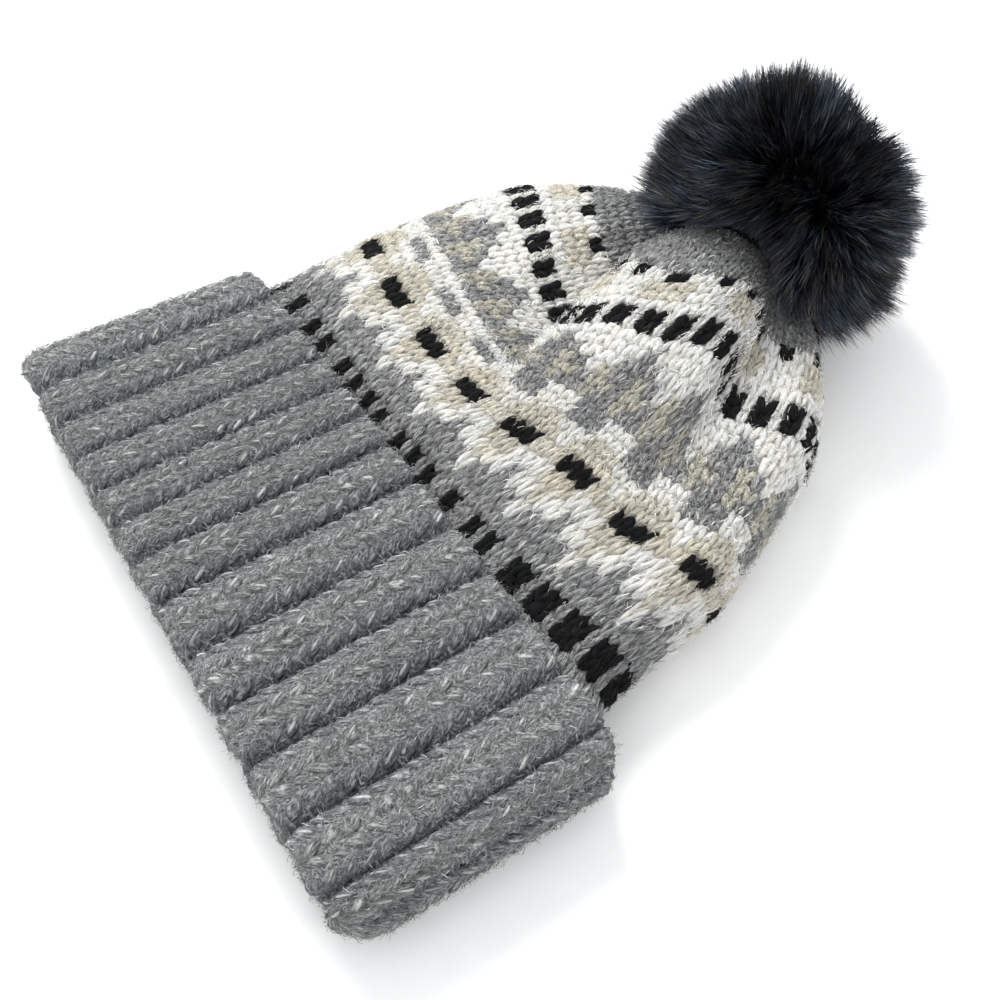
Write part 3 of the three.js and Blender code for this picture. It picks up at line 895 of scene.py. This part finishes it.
def band_legs(name, ribs, rows, samples, around, material, rng, lift=0.0):
    R, J, C = (a.ravel() for a in np.meshgrid(ribs, rows, [0.27, 0.73], indexing="ij"))
    R, J = R.astype(float), J.astype(float)
    n = len(R)
    side = np.tile([-1.0, 1.0], n)
    twice = lambda a: np.repeat(a, 2)
    R, J, C = map(twice, (R, J, C))
    wide_rib = rib_width(R)
    pitch = (band_end(R + 0.5) - 1.2) / ROWS_OUT
    p = np.r_[0, (np.arange(samples) + 0.5) / samples, 1][None]
    slip = np.repeat(rng.normal(0, 0.03, (n, 2)), 2, 0)
    # the stitches point to the cast-on edge, which is the band's upper edge
    half = 0.225
    x = R[:, None] + C[:, None] + side[:, None] * half * (0.05 + 0.95 * p**0.9) + slip[:, :1] * 0.6
    wave = np.where(J < 13, 0.6 * np.sin(R * 2.1), 0)
    y = ((J + 0.5) * pitch + wave)[:, None] + pitch[:, None] * (0.62 - 1.26 * p + slip[:, 1:])
    h = -0.62 + lift - 1.1 * np.clip(1 - p / 0.34, 0, 1) ** 2 - 0.8 * np.clip((p - 0.7) / 0.3, 0, 1) ** 2
    h = h + rng.normal(0, 0.16, (n * 2, 1))
    body = np.sin(np.pi * (0.06 + 0.88 * p)) ** 0.55
    grow = rng.normal(1, 0.10, (n * 2, 1))
    size = (wide_rib * 0.45)[:, None]
    wide = np.minimum(0.25 * size, 2.0) * body * grow * (1 + rng.normal(0, 0.10, body.shape))
    thick = np.minimum(0.13 * size, 0.85) * body * grow
    sx = wide_rib[:, None] * 1.08
    sy = np.ones_like(sx)
    points, quads, tris, maps, per = yarn_mesh(band_place, x, y, h, wide, thick, sx, sy, around, rng)
    pick = rng.random(n * 2) < 0.34
    slivers(
        name + "_light", band_place, (x, y, h, thick, sx, sy), pick, 0.44, np.array([0.93, 0.94, 0.94]), material,
        ["cuff"], rng,
    )  # fmt: skip
    tone = rng.normal(1, 0.10, (n * 2, 1))
    colour = np.clip(BAND_GREY * tone, 0.01, 0.9)
    # painted shade: each stitch is coloured darker towards its ends, where it dips under its neighbours
    shade = np.concatenate(
        [np.repeat(0.80 + 0.20 * np.clip(body[:, 1:-1] * 1.15, 0, 1), around, 1), np.full((1, 2), 0.7)], 1
    )
    # painted shade: the stitches are coloured darker and bluer where they run down into the grooves between the ribs
    crest = np.clip(np.sin(np.pi * np.mod(x[:, 1:-1], 1)), 0, 1) ** 0.7
    low = np.concatenate([np.repeat(crest, around, 1), crest[:, :1], crest[:, -1:]], 1)[..., None]
    colour = colour[:, None, :] * shade[..., None] * (GROOVE_PAINTED_SHADE + (1 - GROOVE_PAINTED_SHADE) * low)
    colour = colour.reshape(-1, 3)
    marl = np.repeat(np.clip(rng.normal(1, 0.15, n * 2), 0.5, 1.4), per)
    points[:, 2] = np.maximum(points[:, 2], 0.15)
    return build(name, points, quads, tris, material, maps, {"yarn": colour, "marl": marl}, ["cuff"])


def band_bumps(name, x, y, length, across, wide_by, material, tone, rng):
    """Short lengths of yarn that lie across the wales: purl bumps in the grooves, and the cast-on edge."""
    n = len(x)
    samples, around = 3, 5
    p = np.r_[0, (np.arange(samples) + 0.5) / samples, 1][None]
    X = x[:, None] + (p - 0.5) * (length / across)[:, None]
    Y = y[:, None] + 0.6 * np.sin(np.pi * p) + rng.normal(0, 0.2, (n, 1))
    h = -0.9 - 1.3 * np.abs(2 * p - 1) ** 2 + rng.normal(0, 0.12, (n, 1))
    body = np.sin(np.pi * (0.1 + 0.8 * p)) ** 0.5
    wide, thick = wide_by * body + 0 * X, 0.85 * wide_by * body + 0 * X
    points, quads, tris, maps, per = yarn_mesh(
        band_place, X, Y, h, wide, thick, across[:, None], np.ones((n, 1)), around, rng
    )
    colour = np.repeat(np.clip(tone * rng.normal(1, 0.09, (n, 1)), 0.01, 0.9), per, 0)
    marl = np.full(n * per, 0.9)
    points[:, 2] = np.maximum(points[:, 2], 0.15)
    return build(name, points, quads, tris, material, maps, {"yarn": colour, "marl": marl}, ["cuff"])


wool_band = wool("band_wool", (0.50, 0.51, 0.50), 0.4)
# ribs 0 to 11 lie on top, 12 and the last one turn round the ends, the rest are underneath
TOP_RIBS = np.array([RIBS - 1, *range(0, 13)])
LOW_RIBS = np.array([r for r in range(13, RIBS - 1)])
OUT_ROWS = np.arange(-2, ROWS_OUT)
band_legs("band_rib_top", TOP_RIBS, OUT_ROWS, 5, 6, wool_band, np.random.default_rng(21))
band_legs("band_rib_under", LOW_RIBS, OUT_ROWS, 3, 5, wool_band, np.random.default_rng(22))
band_legs("band_rib_inside", np.arange(RIBS), np.arange(-13, -2), 3, 4, wool_band, np.random.default_rng(24))
_r, _j = (a.ravel().astype(float) for a in np.meshgrid(np.arange(RIBS), np.arange(-1, ROWS_OUT), indexing="ij"))
_rng = np.random.default_rng(23)
# painted shade: the purl bumps down in the grooves are coloured darker and bluer
band_bumps(
    "band_purl", _r, (_j + 0.5) * (band_end(_r) - 1.2) / ROWS_OUT, np.full(len(_r), 3.6), rib_width(_r), 1.2,
    wool_band, BAND_GREY * GROOVE_PAINTED_SHADE * 1.05, _rng,
)  # fmt: skip
_r = np.concatenate([r + (np.arange(m) + 0.5) / m for r, m in ((r, max(4, round(float(rib_width(np.array([r]))[0]) / 3.3))) for r in range(RIBS))])
band_bumps(
    "band_edge", _r, band_end(_r) - 0.9, np.full(len(_r), 4.6), rib_width(_r), 1.15, wool_band, BAND_GREY * 1.0, _rng
)  # fmt: skip


def felt(name):
    """The matted face of thick marled yarn between its stitches."""
    material, tree, shader = new_material(name)
    colour = node(tree, "ShaderNodeAttribute", attribute_name="yarn").outputs["Color"]
    strand = node(tree, "ShaderNodeUVMap", uv_map="strand").outputs[0]
    place = node(tree, "ShaderNodeTexCoord").outputs["Object"]
    grain = noise(tree, strand, 1.0, 3.0, 0.7, (2.2, 1.0, 1))
    body = mix(tree, 1.0, colour, ramp(tree, grain, [(0.38, 0.34), (0.47, 0.78), (0.54, 1.15), (0.63, 2.0)]), "MULTIPLY")
    sliver = ramp(tree, noise(tree, strand, 1.0, 1.0, 0.4, (1.7, 0.45, 1)), [(0.64, 0.0), (0.67, 0.8)])
    body = mix(tree, sliver, body, (0.48, 0.49, 0.48))
    tree.links.new(body, shader.inputs["Base Color"])
    tree.links.new(ramp(tree, grain, [(0.2, 0.88), (0.8, 1.0)]), shader.inputs["Roughness"])
    shader.inputs["Specular IOR Level"].default_value = 0.04
    shader.inputs["Sheen Weight"].default_value = 0.1
    fine = noise(tree, place, 1100.0, 3.0, 0.7)
    bump = node(tree, "ShaderNodeBump")
    bump.inputs["Strength"].default_value = 1.0
    bump.inputs["Distance"].default_value = 0.0009
    tree.links.new(math_node(tree, "ADD", grain, fine), bump.inputs["Height"])
    tree.links.new(bump.outputs[0], shader.inputs["Normal"])
    return material


def band_shell():
    """The two layers of the band as one closed wall, behind the stitches."""
    ribs = np.arange(RIBS * 10) / 10
    end = band_end(ribs)
    rings, strand, shades = [], [], []
    hem = HEM_LEFT + (HEM_RIGHT - HEM_LEFT) * (end - end.min()) / (end.max() - end.min())
    hem_s = -(hem - FOLD_R + FOLD_RUN)

    def add(s, height, tone):
        rings.append(band_place(ribs, s, np.full(len(ribs), height)))
        strand.append(np.stack([ribs * 15, s], -1))
        # painted shade: the wall is coloured darker and bluer down in the grooves between the ribs
        crest = (np.clip(np.sin(np.pi * np.mod(ribs, 1)), 0, 1) ** 0.7)[:, None]
        shades.append(BAND_GREY * tone * (GROOVE_PAINTED_SHADE + (1 - GROOVE_PAINTED_SHADE) * crest))

    # painted shade: the layers are coloured darker the further in they lie, 0.96 outside, 0.9 on the inner layer under
    # the turned-up band and 0.5 on the faces inside
    for t in np.linspace(1, 0, 56):
        add((end - 1.0) * t, -0.52, 0.96)
    for t in np.linspace(0.05, 1, 26):
        add(hem_s * t, -0.9, 0.9)
    # at the hem the inner layer reaches in to the crown's wall, so that no gap is left beside it
    wales = np.arange(408) / 4 + TOP_FROM
    near = np.concatenate([crown_place(wales, np.full(408, row), np.full(408, -1.8)) for row in (-6.0, -5.4, -4.8, -4.2)])
    away = np.linalg.norm(rings[-1][:, None] - near[None], axis=-1)
    rings.append(near[away.argmin(1)])
    strand.append(np.stack([ribs * 15, hem_s - away.min(1)], -1))
    # painted shade: the ring of the join is coloured darker again
    shades.append(shades[-1] * 0.7)
    for t in np.linspace(1, 0.12, 10):
        add(hem_s * t, -4.3, 0.5)
    for t in np.linspace(0.14, 1, 12):
        add((end - 1.6) * t, -3.7, 0.5)
    points = np.concatenate(rings)
    points[:, 2] = np.maximum(points[:, 2], 0.6)
    flat, colour = np.concatenate(strand), np.concatenate(shades)
    n, rows = len(ribs), len(rings)
    r, k = np.meshgrid(np.arange(rows), np.arange(n), indexing="ij")
    nxt, down = (k + 1) % n, (r + 1) % rows
    quads = np.stack([r * n + k, down * n + k, down * n + nxt, r * n + nxt], -1).reshape(-1, 4)
    build(
        "band_wall", points, quads, np.zeros((0, 3), int), felt("band_felt"), {"strand": flat[quads.ravel()]},
        {"yarn": colour}, ["cuff"],
    )  # fmt: skip


band_shell()


# ---- loose fibres over the knitting --------------------------------------
def fibres(name, place, x, y, colour, length, sx, sy, material, slot, nodes, rng, lift=1.0, allowed=None):
    n = len(x)
    heading = rng.choice([-1.0, 1.0], n) * np.pi / 2 + rng.normal(0, 0.6, n)
    bend = rng.normal(0, 0.5, n)
    samples = 3
    steps = np.linspace(0, 1, samples)[None]
    angle = heading[:, None] + bend[:, None] * steps
    dx = np.cumsum(np.cos(angle), 1) / samples * length[:, None]
    dy = np.cumsum(np.sin(angle), 1) / samples * length[:, None]
    rise = np.abs(rng.normal(0.0, 0.42, n))[:, None] * lift
    h = -0.25 + rise * (0.4 + steps * 1.6) + 0.35 * np.sin(np.pi * steps)
    X, Y = x[:, None] + dx / sx[:, None], y[:, None] + dy / sy[:, None]
    if allowed is not None:
        keep = allowed(X, Y)
        X, Y, h, colour, n = X[keep], Y[keep], h[keep], colour[keep], int(keep.sum())
    path = place(X, Y, h)
    path[..., 2] = np.maximum(path[..., 2], 0.12)
    width = np.array([0.15, 0.17, 0.0])[None] * rng.uniform(0.5, 1.3, (n, 1))
    side = unit(np.cross(unit(path[:, -1] - path[:, 0]), unit(rng.normal(0, 1, (n, 3)))))
    points, quads, tris, maps, per = hair_mesh(path, width, side)
    build(name, points, quads, tris, material, maps, {"yarn": np.repeat(colour, per, 0)}, nodes)


def fibre_material(name):
    material, tree, shader = new_material(name)
    colour = node(tree, "ShaderNodeAttribute", attribute_name="yarn").outputs["Color"]
    place = node(tree, "ShaderNodeTexCoord").outputs["Object"]
    tone = ramp(tree, noise(tree, place, 700.0, 1.0), [(0.3, 0.8), (0.7, 1.15)])
    tree.links.new(mix(tree, 1.0, colour, tone, "MULTIPLY"), shader.inputs["Base Color"])
    tree.links.new(ramp(tree, noise(tree, place, 500.0, 1.0), [(0.3, 0.7), (0.7, 0.95)]), shader.inputs["Roughness"])
    shader.inputs["Specular IOR Level"].default_value = 0.08
    shader.inputs["Sheen Weight"].default_value = 0.05
    return material


def crown_fibres():
    rng = np.random.default_rng(31)
    n = 86000
    x = rng.uniform(TOP_FROM, TOP_FROM + WALES, n)
    x = np.where(rng.random(n) < 0.6, rng.uniform(TOP_FROM, TOP_TO, n), x)
    y = rng.uniform(-4, 28, n)
    yarn = chart(np.round(y).astype(int), np.round(x).astype(int))
    share = np.array([0.55, 0.6, 0.55, 0.55, 1.0])[yarn]
    kept = np.flatnonzero(rng.random(n) < share)[:50500]
    x, y, yarn, n = x[kept], y[kept], yarn[kept], len(kept)
    spread = np.where(yarn == GREY, 0.42, 0.12)[:, None]
    colour = np.clip(YARNS[yarn] * np.exp(rng.normal(0, 1, (n, 1)) * spread), 0.01, 0.9)
    free = rng.random(n) < 0.06

    def off_black(X, Y):
        """Light fibres that would cross a black stitch are mostly left out."""
        end = chart(np.round(Y).astype(int), np.round(X).astype(int)) == BLACK
        return ~(end.any(1) & (yarn != BLACK)) | free

    fibres(
        "crown_fuzz", crown_place, x, y, colour, rng.uniform(1.4, 4.6, n), np.full(n, 4.2), np.full(n, 5.0),
        fibre_material("crown_fibre"), "crown_knit", ["crown"], rng, 1.0, off_black,
    )  # fmt: skip


def band_fibres():
    rng = np.random.default_rng(32)
    n = 45000
    x = rng.uniform(0, RIBS, n)
    x = np.where(rng.random(n) < 0.5, rng.uniform(-1, 13, n), x)
    x = np.mod(x, RIBS)
    x = np.where(np.sin(np.pi * np.mod(x, 1)) < 0.3, np.floor(x) + rng.uniform(0.15, 0.85, n), x)
    y = rng.uniform(-8, 1, n) + rng.random(n) ** 0.9 * band_end(x)
    tone = np.where(rng.random(n) < 0.07, rng.uniform(1.5, 2.4, n), np.exp(rng.normal(-0.16, 0.42, n)))[:, None]
    colour = np.clip(BAND_GREY * tone, 0.01, 0.75)
    fibres(
        "band_fuzz", band_place, x, y, colour, rng.uniform(1.4, 4.2, n), np.full(n, 15.5), np.full(n, 1.0),
        fibre_material("band_fibre"), "cuff_rib", ["cuff"], rng, 1.1,
    )  # fmt: skip


crown_fibres()
band_fibres()


# ---- pompom --------------------------------------------------------------
POMPOM_R = 47.0
POMPOM_AT = np.array([96.0, 234.8, 46.4])


def crown_span():
    """The crown's lowest and highest z over each millimetre of the table."""
    size = (260, 260)
    low, high = np.full(size, 1e9), np.full(size, -1e9)
    flat = CROWN.reshape(-1, 3)
    i = np.clip(np.round(flat[:, 0]).astype(int) + 10, 0, 259)
    k = np.clip(np.round(flat[:, 1]).astype(int) + 10, 0, 259)
    np.minimum.at(low, (i, k), flat[:, 2])
    np.maximum.at(high, (i, k), flat[:, 2])
    for _ in range(2):
        for axis in (0, 1):
            for step in (-1, 1):
                low = np.minimum(low, np.roll(low, step, axis))
                high = np.maximum(high, np.roll(high, step, axis))
    return low, high


SPAN_LOW, SPAN_HIGH = crown_span()


def in_crown(p, room=1.0):
    i = np.clip(np.round(p[..., 0]).astype(int) + 10, 0, 259)
    k = np.clip(np.round(p[..., 1]).astype(int) + 10, 0, 259)
    return (p[..., 2] > SPAN_LOW[i, k] - room) & (p[..., 2] < SPAN_HIGH[i, k] + room)


# the middle lobe's round top, which the fur stands behind: its outline as slopes from the eye
LOBE = [(655, 262), (672, 240), (692, 231), (714, 227), (738, 232), (755, 246), (766, 268), (773, 300), (770, 330)]
LOBE = np.array(LOBE + [(740, 330), (700, 300), (660, 285)], float)
LOBE = np.stack([LOBE[:, 0] - 500, 500 - LOBE[:, 1]], -1) / (45.07 / 36 * 1000)


def over_lobe(p):
    """Whether points lie between the eye and the middle lobe's top."""
    way = metres(p) - np.array(EYE)
    deep = way @ np.array(LOOK)
    x, y = way @ np.array(RIGHT) / deep, way @ np.array(RISE) / deep
    inside = np.zeros(x.shape, bool)
    for (x0, y0), (x1, y1) in zip(LOBE, np.roll(LOBE, -1, 0)):
        crossing = (y0 > y) != (y1 > y)
        inside ^= crossing & (x < (x1 - x0) * (y - y0) / ((y1 - y0) or 1e-12) + x0)
    return inside


def sphere_spread(n, rng, jitter=0.0):
    k = np.arange(n) + 0.5
    z = 1 - 2 * k / n
    a = k * math.pi * (3 - math.sqrt(5))
    r = np.sqrt(1 - z * z)
    return unit(np.stack([r * np.cos(a), r * np.sin(a), z], -1) + rng.normal(0, 1, (n, 3)) * jitter)


FUR = np.array([linear(44, 54, 68), linear(16, 20, 27), linear(86, 99, 116), linear(84, 82, 74)])


def rolling(way, rng, waves, count=24):
    """A smooth, slowly changing value over the ball, about -1 to 1."""
    axes = unit(rng.normal(0, 1, (count, 3))) * waves
    return np.sin(way @ axes.T + rng.uniform(0, 2 * np.pi, count)).sum(1) / math.sqrt(count / 2)


def pompom():
    rng = np.random.default_rng(41)
    tufts = 1500
    tuft_dir = sphere_spread(tufts, rng, 0.03)
    flow = np.stack([rolling(tuft_dir, rng, 4.0) for _ in range(3)], -1) * 0.10
    tuft_bend = flow + rng.normal(0, 0.035, (tufts, 3))
    tuft_long = 1.0 + 0.032 * rolling(tuft_dir, rng, 9.0) + rng.normal(0, 0.028, tufts)
    tuft_tone = 1.0 + 0.28 * rolling(tuft_dir, rng, 9.0) + rng.normal(0, 0.30, tufts)
    # three partings at the outer edge, where the tufts stand away from each other
    for angle, gap in ((79, 0.14), (63, 0.16), (43, 0.24)):
        a = math.radians(angle)
        way = np.array(RIGHT) * math.cos(a) + np.array(RISE) * math.sin(a)
        off = tuft_dir - way
        far = np.linalg.norm(off, axis=1, keepdims=True)
        tuft_bend += off / np.maximum(far, 1e-6) * gap * np.exp(-((far / 0.20) ** 2))
        tuft_long -= 0.40 * np.exp(-((far[:, 0] / (gap * 1.15)) ** 2))
    # the fur hangs longest at its lower end
    for angle, more in ((-69, 0.09), (-28, 0.08)):
        a = math.radians(angle)
        far = np.linalg.norm(tuft_dir - (np.array(RIGHT) * math.cos(a) + np.array(RISE) * math.sin(a)), axis=1)
        tuft_long += more * np.exp(-((far / 0.45) ** 2))
    n = 72000
    own = rng.integers(0, tufts, n)
    start = unit(tuft_dir[own] + rng.normal(0, 0.035, (n, 3)))
    # hairs draw together towards their tuft's tip
    close = rng.uniform(0.15, 0.6, n)[:, None]
    finish = unit(start * (1 - close) + tuft_dir[own] * close + tuft_bend[own] + rng.normal(0, 0.022, (n, 3)))
    t = np.array([0, 0.58, 1.0])[None, :, None]
    way = unit(start[:, None] * (1 - t**1.5) + finish[:, None] * t**1.5)
    reach = POMPOM_R * np.clip(tuft_long[own], 0.62, 1.17) * np.clip(rng.normal(0.965, 0.05, n), 0.76, 1.06)
    root = rng.uniform(0.50, 0.72, n) * POMPOM_R
    dist = root[:, None] + (reach - root)[:, None] * t[..., 0]
    path = POMPOM_AT + way * dist[..., None]
    # fur that meets the table spreads out along it
    sink = np.maximum(0, 2.0 - path[..., 2])
    path[..., 2] = np.maximum(path[..., 2], 0.25 + 0.9 * rng.random((n, 1)))
    path[..., :2] += unit(path[..., :2] - POMPOM_AT[:2]) * (sink * 0.35)[..., None]
    along = np.array([0, 0.2, 0.4, 0.58, 0.7, 0.8, 0.9, 1.0])
    every = np.stack([np.stack([np.interp(along, t[0, :, 0], p[:, k]) for k in range(3)], -1) for p in path])
    # hairs that would cross the middle lobe's top, or run into the knitting, end before it
    crossing = over_lobe(every) | in_crown(every, 2.6)
    free = np.where(crossing.any(1), along[np.maximum(crossing.argmax(1) - 1, 0)] * rng.uniform(0.9, 1.0, n), 1.0)
    cut = np.flatnonzero((free < 1) & (free > 0.3))
    at = free[cut, None] * t[0, :, 0][None]
    path[cut] = np.stack([[np.interp(a, t[0, :, 0], p[:, k]) for k in range(3)] for a, p in zip(at, path[cut])]).transpose(0, 2, 1)
    keep = ~crossing[:, 0] & (free > 0.3)
    path, own, finish = path[keep], own[keep], finish[keep]
    n = len(path)
    width = np.array([0.34, 0.30, 0.0])[None] * rng.uniform(0.6, 1.2, (n, 1))
    side = unit(np.cross(unit(path[:, -1] - path[:, 0]), unit(rng.normal(0, 1, (n, 3)))))
    pick = rng.random(n) - 0.12 * (tuft_tone[own] - 1)
    base = FUR[np.select([pick < 0.5, pick < 0.74, pick < 0.90], [0, 1, 2], 3)]
    # painted shade: the fur is coloured darkest round the ball's upper middle, which faces the camera and where one
    # looks down between the hairs, and greyer round its sides
    top = unit(np.array([0.30, -0.35, 0.85]))
    deep = np.clip(np.arccos(np.clip(finish @ top, -1, 1)) / 1.15, 0, 1) ** 1.5
    tone = (np.clip(tuft_tone[own], 0.3, 2) * rng.normal(1, 0.32, n) * (0.21 + 1.16 * deep))[:, None, None]
    # the hairs are coloured dark at the root and light at the tip: partly the fur's own dark underfur, partly painted
    # shade deep inside the fur
    grade = np.array([0.09, 0.64, 1.8])[None, :, None]
    brown = np.array([[[1.0, 1.0, 1.0]], [[1.3, 1.08, 0.85]]])
    tint = brown[0] * (1 - (t**3)) + brown[1] * (t**3)
    colour = np.clip(base[:, None, :] * tone * grade * tint, 0.0008, 0.5)
    per_point = np.concatenate([np.repeat(colour[:, :-1], 2, 1), colour[:, -1:]], 1)
    material = fur("fur")
    parts = 2
    for part in range(parts):
        mine = np.arange(n) % parts == part
        points, quads, tris, maps, _ = hair_mesh(path[mine], width[mine], side[mine])
        build(
            "pompom_fur_%d" % (part + 1), points, quads, tris, material, maps,
            {"yarn": per_point[mine].reshape(-1, 3)}, ["pompom"],
        )  # fmt: skip
    # the dense middle of the fur, coloured almost black as painted shade
    rows, cols = 40, 64
    lat = np.linspace(0, np.pi, rows + 1)[1:-1]
    lon = np.linspace(0, 2 * np.pi, cols, endpoint=False)
    L, O = np.meshgrid(lat, lon, indexing="ij")
    way = np.stack([np.sin(L) * np.cos(O), np.sin(L) * np.sin(O), np.cos(L)], -1).reshape(-1, 3)
    way = np.concatenate([way, [[0, 0, 1], [0, 0, -1]]])
    lumps = unit(rng.normal(0, 1, (60, 3)))
    radius = 31.5 + 1.6 * np.sin((way @ lumps.T) * 14).mean(1) * 6
    for _ in range(60):
        hit = in_crown(POMPOM_AT + way * radius[:, None], 5.0) & (radius > 6)
        if not hit.any():
            break
        radius = np.where(hit, radius - 0.6, radius)
    points = POMPOM_AT + way * radius[:, None]
    points[:, 2] = np.maximum(points[:, 2], 3.0)
    r, k = np.meshgrid(np.arange(rows - 2), np.arange(cols), indexing="ij")
    nxt = (k + 1) % cols
    quads = np.stack([r * cols + k, (r + 1) * cols + k, (r + 1) * cols + nxt, r * cols + nxt], -1).reshape(-1, 4)
    k = np.arange(cols)
    last = (rows - 2) * cols
    tris = np.concatenate(
        [
            np.stack([np.full(cols, len(points) - 2), k, (k + 1) % cols], -1),
            np.stack([np.full(cols, len(points) - 1), last + (k + 1) % cols, last + k], -1),
        ]
    )
    build(
        "pompom_core", points, quads, tris, material, None,
        {"yarn": np.tile(FUR[1] * 0.12, (len(points), 1))}, ["pompom"],
    )  # fmt: skip


pompom()


# ---- floor and light -----------------------------------------------------
def floor():
    rng_size = 3.0
    mesh = bpy.data.meshes.new("floor")
    steps = 8
    line = np.linspace(-rng_size, rng_size, steps + 1)
    X, Y = np.meshgrid(line, line)
    points = np.stack([X, Y, 0 * X - 0.0002], -1).reshape(-1, 3)
    faces = [
        (r * (steps + 1) + c, r * (steps + 1) + c + 1, (r + 1) * (steps + 1) + c + 1, (r + 1) * (steps + 1) + c)
        for r in range(steps)
        for c in range(steps)
    ]
    mesh.from_pydata([tuple(p) for p in points], [], faces)
    material, tree, shader = new_material("paper")
    place = node(tree, "ShaderNodeTexCoord").outputs["Object"]
    tone = ramp(tree, noise(tree, place, 60.0, 3.0), [(0.3, 0.93), (0.7, 0.95)])
    tree.links.new(tone, shader.inputs["Base Color"])
    shader.inputs["Roughness"].default_value = 0.9
    shader.inputs["Specular IOR Level"].default_value = 0.1
    mesh.materials.append(material)
    made = bpy.data.objects.new("floor", mesh)
    bpy.context.scene.collection.objects.link(made)


def lamp(name, place, size, power, colour=(1, 1, 1)):
    data = bpy.data.lights.new(name, "AREA")
    data.shape = "DISK"
    data.size = size
    data.energy = power
    data.color = colour
    made = bpy.data.objects.new(name, data)
    bpy.context.scene.collection.objects.link(made)
    made.location = place
    made.rotation_mode = "QUATERNION"
    made.rotation_quaternion = (Vector((0, 0, 0.03)) - Vector(place)).to_track_quat("-Z", "Y")
    return made


floor()
lamp("key", (-0.76, 0.065, 0.80), 0.56, 12.3, (1.0, 0.995, 0.985))
lamp("fill", (0.9, -0.9, 1.2), 1.4, 2.5, (0.97, 0.985, 1.0))
world = bpy.data.worlds.new("studio")
bpy.context.scene.world = world
world.use_nodes = True
world.node_tree.nodes["Background"].inputs["Color"].default_value = (0.985, 0.992, 1.0, 1)
world.node_tree.nodes["Background"].inputs["Strength"].default_value = 1.1
bpy.context.scene.view_settings.view_transform = "Standard"
